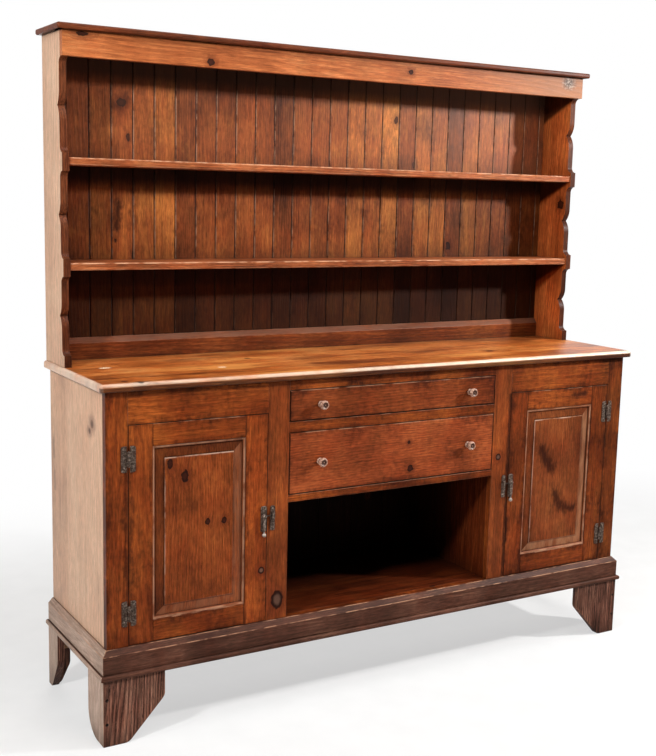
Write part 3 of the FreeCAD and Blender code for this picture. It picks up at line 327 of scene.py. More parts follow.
# Knots that show: place and half size, (x, z, half width, half height) on faces turned to the front
FRIEZE_KNOTS = (
    (-0.446, 1.684, 0.010, 0.009),
    (0.183, 1.704, 0.008, 0.007),
    (-0.790, 1.725, 0.016, 0.006),
)
RACK_BOARD_KNOTS = (
    (-0.634, 1.578, 0.013, 0.011),
    (-0.634, 1.578, 0.010, 0.008),
    (-0.616, 1.490, 0.006, 0.011),
    (-0.602, 1.177, 0.005, 0.012),
    (0.240, 1.579, 0.007, 0.011),
    (0.311, 1.448, 0.007, 0.010),
    (0.453, 1.200, 0.009, 0.014),
)
LEFT_PANEL_KNOTS = (
    (-0.666, 0.691, 0.008, 0.014),
    (-0.626, 0.657, 0.009, 0.016),
    (-0.563, 0.534, 0.007, 0.009),
    (-0.518, 0.531, 0.007, 0.008),
)
LEFT_DOOR_KNOTS = ((-0.412, 0.384, 0.009, 0.010),)
INNER_STILE_KNOTS = ((-0.364, 0.297, 0.018, 0.026), (0.358, 0.611, 0.010, 0.010))
LOWER_DRAWER_KNOTS = ((0.041, 0.684, 0.005, 0.005), (0.048, 0.609, 0.009, 0.010))
FRIEZE_BURR = (0.784, 1.714, 0.030, 0.022)

# Knots on the left end of the base and the right side of the rack, (y, z, half width, half height)
RIGHT_RACK_KNOTS = ((0.112, 1.338, 0.015, 0.014),)
LEFT_END_KNOTS = ((-0.106, 0.788, 0.012, 0.011), (-0.088, 0.768, 0.009, 0.008))

# Knots on the counter and spots where its polish is worn through, (x, y, half width, half depth)
COUNTER_KNOTS = (
    (-0.745, -0.205, 0.010, 0.008),
    (0.420, -0.060, 0.012, 0.008),
    (-0.330, 0.060, 0.009, 0.007),
)
COUNTER_BARE_SPOTS = ((-0.748, 0.035, 0.017, 0.009), (-0.463, -0.060, 0.012, 0.008))

# Dark smears along a branch under the surface, and one painted shadow in the gap beside the right door:
# from (x, z) to (x, z), and half width; on the left end (y, z)
RACK_BOARD_SMEARS = ((-0.642, 1.570, -0.624, 1.588, 0.018), (-0.648, 1.250, -0.644, 1.315, 0.013))
RIGHT_PANEL_SMEARS = (
    (0.522, 0.622, 0.540, 0.590, 0.016),
    (0.540, 0.590, 0.568, 0.560, 0.021),
    (0.586, 0.478, 0.598, 0.446, 0.016),
    (0.598, 0.446, 0.630, 0.424, 0.021),
    (0.630, 0.424, 0.664, 0.424, 0.013),
)
RIGHT_DOOR_SMEARS = ((0.640, 0.774, 0.684, 0.778, 0.011), (0.401, 0.420, 0.399, 0.352, 0.006))
# On the inner stiles: a painted shadow in the gap between the stile and the right door
INNER_STILE_GAP_SHADOW = ((0.3935, 0.240, 0.3935, 0.790, 0.006),)
DRAWER_RAIL_SMEARS = ((-0.152, 0.864, -0.116, 0.859, 0.009),)
LEFT_END_SMEARS = ((0.202, 0.690, 0.199, 0.650, 0.010), (0.196, 0.600, 0.192, 0.560, 0.009))

# The two axes that run along a face
UPRIGHT_FACE = (0, 2)
LEVEL_FACE = (0, 1)
END_FACE = (1, 2)

# Knob outline from the middle of its foot to the middle of its dish: shares of its radius and reach, and how
# dark the old polish is there; in how many steps it is spun, and how often it is smoothed
KNOB_OUTLINE = (
    (0.0, 0.0, 0.9),
    (0.34, 0.0, 0.8),
    (0.68, 0.0, 0.6),
    (0.72, 0.06, 0.1),
    (0.70, 0.15, 0.0),
    (0.54, 0.22, 0.5),
    (0.38, 0.27, 1.0),
    (0.36, 0.40, 1.0),
    (0.42, 0.50, 0.8),
    (0.72, 0.55, 0.3),
    (0.93, 0.63, 0.0),
    (1.00, 0.76, 0.0),
    (0.96, 0.89, 0.0),
    (0.82, 0.98, 0.0),
    (0.68, 1.0, 0.1),
    (0.56, 0.96, 0.7),
    (0.38, 0.91, 1.0),
    (0.18, 0.90, 0.9),
    (0.10, 0.94, 0.4),
    (0.0, 0.95, 0.3),
)
KNOB_STEPS = 40
KNOB_ROUNDING = 2

# Studio: the floor, how much of the white room shows in gloss from the front, and the even light
FLOOR_R = 14.0
FLOOR_SIDES = 96
FLOOR_STOPS = (0.3, 0.7)
FLOOR_STRETCH = (0.62, 1.0, 0.0)
FLOOR_WHITE = (0.9, 2.2, 0.55, 1.0)
FLOOR_BEHIND = (-0.6, 0.6)
SKY_BEHIND = (-0.3, 0.3)
ROOM_SHARE = 0.05
AMBIENT = 0.07
WHITE = (1.0, 1.0, 1.0, 1.0)

# Lamps: name, place, what they point at, width and power
LAMPS = (
    ("right_lamp", (2.5, -1.55, 2.2), (0.0, 0.1, 1.2), 0.20, 95.0),
    ("left_softbox", (-2.7, -1.3, 2.15), (0.0, 0.0, 1.0), 0.28, 57.0),
    ("top_softbox", (0.0, -0.9, 3.4), (0.0, 0.0, 0.9), 2.2, 55.0),
    ("back_softbox", (0.7, 3.4, 1.8), (0.0, 0.2, 0.9), 2.0, 60.0),
)

# The camera, worked out from the photograph's edges
CAMERA_PLACE = Vector((-1.746, -2.750, 1.350))
CAMERA_TURN = math.radians(-30.82)
CAMERA_DROP = math.radians(9.02)
CAMERA_ROLL = math.radians(1.38)
FRAME_H_PX = 756
FOCAL_PX = 1151.5
SENSOR = 36.0


def tone(red, green, blue):
    """A colour from its screen values, 0 to 255."""
    linear = []
    for value in (red, green, blue):
        share = value / 255
        linear.append(share / 12.92 if share <= 0.04045 else ((share + 0.055) / 1.055) ** 2.4)
    return (*linear, 1.0)


# Tones of each finish: dark streaks, middle, light streaks
RED_TONES = (tone(52, 18, 6), tone(128, 56, 18), tone(190, 98, 36))
PANEL_TONES = (tone(62, 23, 8), tone(144, 68, 27), tone(206, 114, 48))
DRAWER_TONES = (tone(66, 25, 11), tone(152, 70, 32), tone(198, 106, 56))
SHADED_TONES = (tone(46, 18, 8), tone(122, 58, 25), tone(176, 96, 46))
SHADED_DRAWER_TONES = (tone(54, 20, 8), tone(126, 56, 22), tone(174, 88, 42))
EDGE_TONES = (tone(38, 17, 8), tone(84, 40, 20), tone(136, 74, 42))
BOARD_TONES = (tone(56, 22, 9), tone(172, 90, 44), tone(244, 152, 72))
FRIEZE_TONES = (tone(106, 48, 22), tone(183, 102, 55), tone(218, 142, 88))
BEAD_TONES = (tone(60, 24, 10), tone(126, 62, 30), tone(176, 100, 56))
SHELF_TONES = (tone(78, 34, 17), tone(168, 92, 52), tone(214, 134, 84))
RACK_SIDE_TONES = (tone(88, 34, 13), tone(196, 100, 47), tone(234, 138, 70))
WARM_TONES = (tone(76, 28, 9), tone(206, 110, 44), tone(244, 168, 96))
CORNICE_TONES = (tone(48, 20, 9), tone(104, 50, 26), tone(150, 80, 44))
BROWN_TONES = (tone(34, 17, 11), tone(92, 56, 42), tone(150, 104, 82))
FOOT_TONES = (tone(26, 12, 8), tone(116, 72, 56), tone(174, 126, 104))
# The next two: paler outer faces of the ends, plinth and feet, partly faded wood and partly painted light
FADED_AND_LIT_TONES = (tone(152, 106, 76), tone(218, 170, 135), tone(244, 204, 170))
GREY_AND_LIT_TONES = (tone(112, 88, 74), tone(190, 160, 141), tone(224, 198, 181))
INNER_TONES = (tone(44, 13, 4), tone(92, 36, 13), tone(136, 64, 28))
# Nearly black tones of the recess back: painted shade
RECESS_SHADE_TONES = (tone(20, 9, 5), tone(38, 18, 10), tone(56, 28, 16))
RAW_TONES = (tone(150, 104, 68), tone(192, 146, 104), tone(214, 174, 134))
IRON_TONES = (tone(40, 28, 22), tone(96, 78, 66), tone(170, 152, 138))
SCREW_HOLE_TONES = (tone(12, 7, 5), tone(26, 16, 12), tone(54, 38, 30))
LEVER_TONES = (tone(56, 42, 35), tone(122, 104, 92), tone(186, 168, 154))
KNOB_TONES = (tone(108, 72, 56), tone(174, 130, 108), tone(218, 182, 160))
BURR_TONES = (tone(34, 26, 22), tone(112, 94, 82), tone(186, 168, 152))
FLOOR_TONES = (tone(232, 231, 229), tone(240, 239, 237))

# Tones of knots, wear, dust and dirt, and of painted highlight, sheen, glare and shade
KNOT_TONE = tone(26, 10, 5)
KNOT_RIM_TONE = tone(88, 32, 12)
GREY_KNOT_TONE = tone(96, 66, 52)
SMEAR_AND_SHADOW_TONE = tone(42, 15, 6)
GRIME_AND_SHADE_TONE = tone(24, 11, 6)
WORN_AND_HIGHLIGHT_TONE = tone(204, 152, 118)
RUST_TONE = tone(74, 42, 28)
RUBBED_AND_LIT_IRON_TONE = tone(170, 154, 140)
LEVER_TIP_TONE = tone(214, 198, 184)
LEVER_TONGUE_TONE = tone(34, 22, 17)
IRON_GRIME_AND_SHADE_TONE = tone(22, 16, 13)
KNOB_POLISH_TONE = tone(56, 27, 17)
SLOPE_LIGHT_AND_DUST_TONE = tone(140, 92, 66)
RIGHT_SLOPE_LIGHT_AND_DUST_TONE = tone(176, 126, 92)
FIELD_RIM_WEAR_AND_HIGHLIGHT_TONE = tone(208, 170, 146)
BEAD_CREST_WEAR_AND_HIGHLIGHT_TONE = tone(200, 150, 118)
RAIL_SHEEN_AND_DUST_TONE = tone(128, 92, 74)
CUPBOARD_TONE = tone(112, 60, 32)
COUNTER_DARK_TONE = tone(82, 31, 9)
COUNTER_PALE_TONE = tone(244, 164, 84)
COUNTER_HIGHLIGHT_TONE = tone(236, 208, 182)
COUNTER_NOSE_SHADE_TONE = tone(48, 22, 11)
COUNTER_BARE_TONE = tone(255, 226, 190)
FRIEZE_GLARE_TONE = tone(154, 106, 72)
PAINTED_SHADE_TONE = tone(26, 10, 4)
BOARD_LIGHT_AND_DUST_TONE = tone(156, 115, 94)

# How patches of old polish change a colour: redder, as it is, browner
POLISH_STOPS = (
    (0.34, (1.0, 0.80, 0.70, 1.0)),
    (0.5, (1.0, 1.0, 1.0, 1.0)),
    (0.66, (0.82, 0.94, 0.92, 1.0)),
)


class Finish:
    """The nodes of a material or of the world: each call adds a node and gives back what comes out of it."""

    def __init__(self, owner):
        owner.use_nodes = True
        self.owner = owner
        self.tree = owner.node_tree
        self.tree.nodes.clear()

    def add(self, kind, inputs=None, **settings):
        """A node of a kind, with its inputs and settings."""
        made = self.tree.nodes.new("ShaderNode" + kind)
        for key, value in settings.items():
            setattr(made, key, value)
        for key, value in (inputs or {}).items():
            self.feed(made.inputs[key], value)
        return made

    def feed(self, socket, value):
        """Link a socket to what comes out of a node, or set a fixed value on it."""
        if isinstance(value, bpy.types.NodeSocket):
            self.tree.links.new(value, socket)
        else:
            socket.default_value = value

    def math(self, operation, *values):
        """One number worked out from others."""
        return self.add("Math", dict(enumerate(values)), operation=operation).outputs[0]

    def sway(self, wave, share, base):
        """A base that a share of a wave moves up and down."""
        return self.math("MULTIPLY_ADD", self.math("SUBTRACT", wave, NOISE_MIDDLE), share, base)

    def vector(self, operation, *values):
        """A vector worked out from others; some operations give a number."""
        made = self.add("VectorMath", dict(enumerate(values)), operation=operation)
        return made.outputs["Value" if operation in ("LENGTH", "DOT_PRODUCT") else "Vector"]

    def parts(self, place):
        """How far a place lies along each axis."""
        return self.add("SeparateXYZ", {0: place}).outputs

    def blend(self, share, first, second, kind="MIX"):
        """A share of the second colour over the first."""
        made = self.add("Mix", {0: share, 6: first, 7: second}, data_type="RGBA", blend_type=kind)
        return made.outputs[2]

    def spread(self, value, low, high, start=0.0, stop=1.0):
        """How far a value has come from low to high, as a number from start to stop."""
        inputs = {0: value, 1: low, 2: high, 3: start, 4: stop}
        return self.add("MapRange", inputs, interpolation_type="SMOOTHSTEP").outputs[0]

    def noise(self, place, stretch, detail):
        """An uneven pattern round a half."""
        stretched = self.vector("MULTIPLY", place, stretch)
        inputs = {"Vector": stretched, "Scale": 1.0, "Detail": detail, "Roughness": NOISE_ROUGHNESS}
        return self.add("TexNoise", inputs).outputs

    def patches(self, place, pattern, *limits):
        """Patches that grow where a pattern lies between two limits."""
        return self.spread(self.noise(place, *pattern)[0], *limits)

    def ramp(self, value, stops):
        """The colour of a value between stops."""
        made = self.add("ValToRGB", {0: value})
        elements = made.color_ramp.elements
        while len(elements) < len(stops):
            elements.new(0.5)
        for element, (position, colour) in zip(elements, stops):
            element.position = position
            element.color = colour
        return made.outputs["Color"]

    def place(self):
        """Where a spot lies on the dresser at rest."""
        return self.add("TexCoord").outputs["Object"]

    def attribute(self, name, output="Fac"):
        """What was noted on a piece while it was made."""
        return self.add("Attribute", attribute_name=name).outputs[output]

    def dirt_and_shade(self, reach, begins, full, share):
        """How much dirt and painted shade a spot takes: none on a free face, most in a tight corner."""
        free = self.add("AmbientOcclusion", {"Distance": reach}, samples=DIRT_SAMPLES).outputs["AO"]
        return self.spread(free, begins, full, 0.0, share)

    def surface(self, colour, roughness, height, relief, **sockets):
        """The shader itself, with a bump from a height; other sockets hold one value all over."""
        inputs = {"Strength": RELIEF_STRENGTH, "Distance": relief, "Height": height}
        bump = self.add("Bump", inputs).outputs[0]
        inputs = {"Base Color": colour, "Roughness": roughness, "Normal": bump}
        inputs.update({name.replace("_", " "): value for name, value in sockets.items()})
        shader = self.add("BsdfPrincipled", inputs).outputs[0]
        self.add("OutputMaterial", {"Surface": shader})
        return self.owner


def knot_gap(finish, place, knot, face):
    """How far a spot lies from the middle of a knot, in knot sizes."""
    middle = [0.0, 0.0, 0.0]
    size = [NO_LIMIT, NO_LIMIT, NO_LIMIT]
    for axis, centre, half in zip(face, knot[:2], knot[2:]):
        middle[axis] = centre
        size[axis] = half
    away = finish.vector("DIVIDE", finish.vector("SUBTRACT", place, middle), size)
    return finish.vector("LENGTH", away)


def stray_knot_gap(finish, grain, share):
    """The same for knots strewn along a board, in a share of the board's cells."""
    cells = finish.vector("MULTIPLY", grain, (KNOT_CELL_STRETCH / KNOT_CELL, 1 / KNOT_CELL, 0.0))
    inputs = {"Vector": cells, "Scale": 1.0}
    spots = finish.add("TexVoronoi", inputs, voronoi_dimensions="2D", feature="F1").outputs
    luck = finish.add("SeparateColor", {0: spots["Color"]}).outputs
    radius = finish.spread(luck[0], 0.0, 1.0, KNOT_R_MIN / KNOT_CELL, KNOT_R_MAX / KNOT_CELL)
    gap = finish.math("DIVIDE", spots["Distance"], radius)
    absent = finish.math("GREATER_THAN", luck[1], share)
    return finish.math("MULTIPLY_ADD", absent, NO_LIMIT, gap)


def stroke_gap(finish, place, stroke, face):
    """How far a spot lies from a stroke between two points, in half widths of the stroke."""
    start = Vector((0.0, 0.0, 0.0))
    run = Vector((0.0, 0.0, 0.0))
    seen = Vector((0.0, 0.0, 0.0))
    for axis, first, last in zip(face, stroke[:2], stroke[2:4]):
        start[axis] = first
        run[axis] = last - first
        seen[axis] = 1.0
    away = finish.vector("MULTIPLY", finish.vector("SUBTRACT", place, start), seen)
    share = finish.vector("DOT_PRODUCT", away, run / run.length_squared)
    share = finish.math("MINIMUM", finish.math("MAXIMUM", share, 0.0), 1.0)
    nearest = finish.add("VectorMath", {0: run, 3: share}, operation="SCALE").outputs["Vector"]
    gap = finish.vector("LENGTH", finish.vector("SUBTRACT", away, nearest))
    return finish.math("DIVIDE", gap, stroke[4])


def edge_gap(finish):
    """How far a spot on a face turned to the front lies from its board's nearest edge."""
    sides = []
    for name in ("from_low", "from_high"):
        across, _, height = finish.parts(finish.attribute(name, "Vector"))
        sides.append(finish.math("MINIMUM", across, height))
    return finish.math("MINIMUM", *sides)


def pine(
    name,
    tones,
    knots=(),
    smears_and_shadows=(),
    face=UPRIGHT_FACE,
    strip=1.0,
    strays=0.3,
    variety=0.08,
    stripes=0.28,
    figure=1.0,
    patina=0.0,
    mellow=0.5,
    grey_knots=False,
    wear_and_highlight=0.34,
    grime_and_shade=0.85,
    gloss=0.40,
    shine=0.12,
    depth=0.92,
    stain=None,
):
    """Old stained pine: rings about a pith, knots, streaks, arrises pale with wear and painted highlight, and
    dirt and painted shade in the corners.
    """
    deep, _, light = tones
    finish = Finish(bpy.data.materials.new(name))
    place = finish.place()
    grain = finish.attribute("grain", "Vector")
    board = finish.attribute("board")

    # Each glued strip of each board is its own piece of tree
    flat = finish.parts(grain)
    strip_number = finish.math("FLOOR", finish.math("DIVIDE", flat[1], strip))
    seed = finish.math("MULTIPLY_ADD", strip_number, STRIP_STEP, board)
    luck_colour = finish.add("TexWhiteNoise", {"W": seed}, noise_dimensions="1D").outputs["Color"]
    luck = finish.add("SeparateColor", {0: luck_colour}).outputs
    shifted = finish.vector("MULTIPLY_ADD", luck_colour, STRIP_SHIFT, grain)
    drift = finish.noise(shifted, *DRIFT)["Color"]
    drift = finish.vector("SUBTRACT", drift, (NOISE_MIDDLE, NOISE_MIDDLE, NOISE_MIDDLE))
    bent = finish.vector("MULTIPLY_ADD", drift, (0.0, GRAIN_DRIFT, GRAIN_DRIFT), shifted)

    # Knots, and smears where a branch runs along under the surface; on the inner stiles a painted shadow in a
    # gap
    gap = stray_knot_gap(finish, shifted, strays)
    for knot in knots:
        gap = finish.math("MINIMUM", gap, knot_gap(finish, place, knot, face))
    ragged = GREY_KNOT_RAGGED if grey_knots else KNOT_RAGGED
    rim = finish.patches(place, RAGGED_RIMS, *RIM_NOISE, 1.0 - ragged, 1.0 + ragged)
    gap = finish.math("MULTIPLY", gap, rim)
    core = finish.spread(gap, *KNOT_CORE)
    heart = finish.spread(gap, *KNOT_HEART)
    halo = finish.spread(gap, *KNOT_HALO)
    smear_and_shadow = 0.0
    if smears_and_shadows:
        gap = NO_LIMIT
        for stroke in smears_and_shadows:
            gap = finish.math("MINIMUM", gap, stroke_gap(finish, place, stroke, face))
        torn = finish.noise(place, *TORN_SMEARS)[0]
        smear_and_shadow = finish.spread(finish.math("MULTIPLY_ADD", torn, SMEAR_TORN, gap), *SMEAR_REACH)

    # Rings round the pith, which lies behind the board and runs a little out of line
    away = finish.parts(finish.vector("SUBTRACT", bent, shifted))
    side = finish.math("ADD", flat[1], away[1])
    side = finish.math("MULTIPLY_ADD", luck[0], PITH_SIDE_SPREAD, side)
    side = finish.math("SUBTRACT", side, PITH_SIDE_SPREAD / 2)
    slope = finish.math("MULTIPLY", finish.math("SUBTRACT", luck[1], NOISE_MIDDLE), PITH_SLOPE_SPREAD)
    sunk = finish.math("MULTIPLY_ADD", luck[2], PITH_DEPTH_SPREAD, PITH_DEPTH)
    through = finish.math("ADD", flat[2], away[2])
    behind = finish.math("ADD", finish.math("MULTIPLY_ADD", flat[0], slope, sunk), through)
    from_pith = finish.vector("LENGTH", finish.add("CombineXYZ", {1: side, 2: behind}).outputs[0])
    radius = finish.math("MULTIPLY_ADD", finish.math("MAXIMUM", halo, smear_and_shadow), KNOT_SWELL, from_pith)
    year = finish.math("FRACT", finish.math("DIVIDE", radius, RING_W))
    rise = finish.spread(year, *LATE_WOOD_RISE)
    late_wood = finish.math("MULTIPLY", rise, finish.spread(year, *LATE_WOOD_FALL))

    # Streaks, fibres, flecks and blotches of stain
    streak = finish.noise(bent, *STREAKS)[0]
    band = finish.noise(bent, *BANDS)[0]
    fibre = finish.noise(bent, *FIBRES)[0]
    fleck = finish.patches(bent, *FLECKS)
    blotch = finish.noise(place, *BLOTCHES)[0]
    level = finish.math("MULTIPLY_ADD", luck[2], variety * 2, NOISE_MIDDLE - variety)
    level = finish.sway(blotch, BLOTCH_SHARE, level)
    level = finish.sway(streak, STREAK_SHARE * figure, level)
    level = finish.sway(band, BAND_SHARE * figure, level)
    colour = finish.ramp(level, tuple(zip(TONE_STOPS, tones)))
    colour = finish.blend(finish.math("MULTIPLY", late_wood, stripes), colour, deep)
    colour = finish.blend(finish.math("MULTIPLY", fleck, stripes * FLECK_SHARE), colour, deep)
    pore_share = PORE_LEAST + PORE_MORE * mellow
    pores = finish.patches(bent, PORES, *PORE_NOISE, 1.0 - pore_share, 1.0 + pore_share)
    shade = finish.math("MULTIPLY", finish.spread(fibre, *FIBRE_SHADE), pores)
    shade = finish.add("CombineColor", {0: shade, 1: shade, 2: shade}).outputs[0]
    colour = finish.blend(1.0, colour, shade, "MULTIPLY")

    # Old polish
    if patina:
        cloud = finish.math("MULTIPLY", finish.noise(place, *CLOUDS)[0], PATINA_CLOUD)
        dim = finish.math("MULTIPLY_ADD", finish.noise(place, *MOTTLES)[0], PATINA_MOTTLE, cloud)
        dark = finish.spread(dim, *PATINA_DARK, 0.0, patina * PATINA_DARK_SHARE)
        colour = finish.blend(dark, colour, deep)
        pale = finish.spread(dim, *PATINA_LIGHT, 0.0, patina * PATINA_LIGHT_SHARE)
        colour = finish.blend(pale, colour, light)
        ragged_edge = finish.sway(dim, PATINA_EDGE_WANDER, edge_gap(finish))
        edge = finish.spread(ragged_edge, *PATINA_EDGE, 0.0, patina * PATINA_EDGE_SHARE)
        colour = finish.blend(edge, colour, deep)
    polish = finish.ramp(finish.noise(place, *OLD_POLISH)[0], POLISH_STOPS)
    colour = finish.blend(mellow, colour, polish, "MULTIPLY")

    # The knots and smears themselves
    colour = finish.blend(finish.math("MULTIPLY", smear_and_shadow, depth * SMEAR_SHARE), colour, SMEAR_AND_SHADOW_TONE)
    colour = finish.blend(finish.math("MULTIPLY", halo, HALO_SHARE), colour, KNOT_RIM_TONE)
    colour = finish.blend(finish.math("MULTIPLY", core, depth), colour, KNOT_TONE)
    heart = finish.math("MULTIPLY", heart, GREY_HEART_SHARE if grey_knots else HEART_SHARE)
    colour = finish.blend(heart, colour, GREY_KNOT_TONE if grey_knots else KNOT_RIM_TONE)

    # Arrises pale with wear and painted highlight, others dark with painted shade; corners filled with old
    # polish, dirt and painted shade
    arris = finish.attribute("arris")
    rubbed_and_lit = finish.patches(place, *ARRIS_RUB)
    rubbed_and_lit = finish.math("MULTIPLY", finish.math("MAXIMUM", arris, 0.0), rubbed_and_lit)
    colour = finish.blend(finish.math("MULTIPLY", rubbed_and_lit, wear_and_highlight), colour, WORN_AND_HIGHLIGHT_TONE)
    if stain:
        colour = stain(finish, colour, place)
    # Painted shade on the arrises round doors and drawers and on one side of each seam of the back boards
    shaded_arrises = finish.math("MULTIPLY", finish.math("MINIMUM", arris, 0.0), -grime_and_shade)
    colour = finish.blend(shaded_arrises, colour, GRIME_AND_SHADE_TONE)
    near = finish.dirt_and_shade(*NEAR_DIRT_AND_SHADE, grime_and_shade)
    wide = finish.dirt_and_shade(*WIDE_DIRT_AND_SHADE, grime_and_shade / 2)
    colour = finish.blend(finish.math("MAXIMUM", near, wide), colour, GRIME_AND_SHADE_TONE)

    roughness = finish.math("MULTIPLY_ADD", blotch, BLOTCH_ROUGHNESS, gloss - BLOTCH_ROUGHNESS / 2)
    roughness = finish.math("MULTIPLY_ADD", fibre, FIBRE_ROUGHNESS, roughness)
    roughness = finish.math("MULTIPLY_ADD", core, KNOT_ROUGHNESS, roughness)
    height = finish.math("MULTIPLY", fibre, FIBRE_HEIGHT)
    height = finish.math("MULTIPLY_ADD", streak, STREAK_HEIGHT, height)
    height = finish.math("MULTIPLY_ADD", late_wood, RING_HEIGHT, height)
    return finish.surface(colour, roughness, height, WOOD_RELIEF, Specular_IOR_Level=shine)


def hammered_iron(name, tones, rub_and_highlight=0.4, tip=False):
    """Browned iron with hammer marks and bright edges; a lever's tip is bright too, and its tongue dark."""
    finish = Finish(bpy.data.materials.new(name))
    place = finish.place()
    inputs = {"Vector": place, "Scale": HAMMER_MARKS}
    dents = finish.add("TexVoronoi", inputs, feature="SMOOTH_F1").outputs["Distance"]
    mottle = finish.noise(place, *IRON_MOTTLES)[0]
    rust = finish.patches(place, *IRON_RUST)
    colour = finish.ramp(mottle, tuple(zip(RUBBED_STOPS, tones)))
    colour = finish.blend(finish.math("MULTIPLY", rust, RUST_SHARE), colour, RUST_TONE)
    # Arrises pale, partly from wear and partly painted highlight
    rubbed_and_lit = finish.math("MULTIPLY", finish.attribute("arris"), rub_and_highlight)
    colour = finish.blend(rubbed_and_lit, colour, RUBBED_AND_LIT_IRON_TONE)
    if tip:
        across, _, height = finish.parts(place)
        bright = finish.spread(height, LEVER_TIP_Z + LEVER_TIP_FADE, LEVER_TIP_Z, 0.0, LEVER_TIP_SHARE)
        colour = finish.blend(bright, colour, LEVER_TIP_TONE)
        out = finish.math("ABSOLUTE", across)
        begins = LEVER_TONGUE_X + LEVER_TONGUE_FADE
        tongue = finish.spread(out, begins, LEVER_TONGUE_X, 0.0, LEVER_TONGUE_SHARE)
        colour = finish.blend(tongue, colour, LEVER_TONGUE_TONE)
    # Dirt and painted shade where other faces are near
    colour = finish.blend(finish.dirt_and_shade(*IRON_DIRT_AND_SHADE, FITTING_DIRT_AND_SHADE_SHARE), colour, IRON_GRIME_AND_SHADE_TONE)
    roughness = finish.spread(mottle, *IRON_ROUGHNESS)
    height = finish.math("MULTIPLY", mottle, IRON_MOTTLE_HEIGHT)
    height = finish.math("MULTIPLY_ADD", dents, DENT_HEIGHT, height)
    return finish.surface(colour, roughness, height, IRON_RELIEF, Metallic=IRON_METALLIC)


def worn_knob_wood(name):
    """Turned pine rubbed pale by hands, dark with polish in the dish and the neck."""
    finish = Finish(bpy.data.materials.new(name))
    place = finish.place()
    streak = finish.noise(place, *KNOB_STREAKS)[0]
    colour = finish.ramp(streak, tuple(zip(RUBBED_STOPS, KNOB_TONES)))
    patchy = finish.sway(streak, KNOB_PATCHY, finish.attribute("polish"))
    colour = finish.blend(finish.spread(patchy, *KNOB_DARK), colour, KNOB_POLISH_TONE)
    # Dirt and painted shade where other faces are near
    colour = finish.blend(finish.dirt_and_shade(*KNOB_DIRT_AND_SHADE, FITTING_DIRT_AND_SHADE_SHARE), colour, GRIME_AND_SHADE_TONE)
    roughness = finish.spread(streak, *KNOB_ROUGHNESS)
    return finish.surface(colour, roughness, streak, KNOB_RELIEF, Specular_IOR_Level=KNOB_SHINE)


def slopes_lit_and_dusty(finish, colour, place, light_and_dust_tone=SLOPE_LIGHT_AND_DUST_TONE, shade=FIELD_SHADE):
    """The slopes of a raised field that look down or to the right are dusty and take painted light, the
    others painted shade.
    """
    light_and_dust = finish.attribute("light_and_dust")
    pale = finish.math("MULTIPLY", finish.math("MAXIMUM", light_and_dust, 0.0), finish.patches(place, *SLOPE_LIGHT_AND_DUST_PATCHES))
    colour = finish.blend(pale, colour, light_and_dust_tone)
    dark = finish.math("MAXIMUM", finish.math("MULTIPLY", light_and_dust, -1.0), 0.0)
    colour = finish.blend(finish.math("MULTIPLY", dark, shade), colour, GRIME_AND_SHADE_TONE)

    # Dirt outside the edge of the field, and a rim inside it, rubbed pale and with painted highlight
    gap = edge_gap(finish)
    beside = finish.math("LESS_THAN", gap, FIELD_INSET)
    dirt_and_shade = finish.spread(gap, FIELD_INSET - FIELD_DIRT_W, FIELD_INSET, 0.0, FIELD_DIRT_SHARE)
    colour = finish.blend(finish.math("MULTIPLY", dirt_and_shade, beside), colour, GRIME_AND_SHADE_TONE)
    left = finish.parts(finish.attribute("from_low", "Vector"))[0]
    top = finish.parts(finish.attribute("from_high", "Vector"))[2]
    rim_end = FIELD_INSET + FIELD_RIM_W
    left_rim = finish.spread(left, rim_end, FIELD_INSET, 0.0, FIELD_LEFT_RIM_SHARE)
    top_rim = finish.spread(top, rim_end, FIELD_INSET, 0.0, FIELD_TOP_RIM_SHARE)
    rim = finish.math("MAXIMUM", left_rim, top_rim)
    rim = finish.math("MULTIPLY", rim, finish.patches(place, *FIELD_RIM_WEAR_AND_HIGHLIGHT_PATCHES))
    rim = finish.math("MULTIPLY", rim, finish.math("SUBTRACT", 1.0, beside))
    return finish.blend(rim, colour, FIELD_RIM_WEAR_AND_HIGHLIGHT_TONE)


def right_slopes_lit_and_dusty(finish, colour, place):
    """The right panel's slopes take paler dust and painted light still, and hardly any painted shade."""
    return slopes_lit_and_dusty(finish, colour, place, RIGHT_SLOPE_LIGHT_AND_DUST_TONE, RIGHT_FIELD_SHADE)


def worn_and_lit_bead(finish, colour, place):
    """A bead is rubbed pale with painted highlight on its crest and filled with dirt at its foot."""
    back = finish.parts(place)[1]
    crest = finish.spread(back, BEAD_CREST_Y + BEAD_CREST_W, BEAD_CREST_Y)
    crest = finish.math("MULTIPLY", crest, finish.patches(place, *BEAD_CREST_WEAR_AND_HIGHLIGHT_PATCHES))
    colour = finish.blend(crest, colour, BEAD_CREST_WEAR_AND_HIGHLIGHT_TONE)
    foot = finish.spread(back, BEAD_FOOT_Y - BEAD_FOOT_W, BEAD_FOOT_Y, 0.0, BEAD_DIRT_SHARE)
    return finish.blend(foot, colour, GRIME_AND_SHADE_TONE)


def browner_end(finish, colour, place):
    """The front gets browner towards its right end."""
    share = finish.spread(finish.parts(place)[0], BROWN_END_X, BROWN_END_X + BROWN_END_W)
    return finish.blend(share, colour, BROWN_END_GAIN, "MULTIPLY")


def paler_latch_stile(finish, colour, place):
    """The stile that carries the left latch is a paler board than its neighbours."""
    share = finish.spread(finish.parts(place)[0], LATCH_STILE_X, LATCH_STILE_X + JOINT_W)
    return finish.blend(share, colour, LATCH_STILE_GAIN, "MULTIPLY")


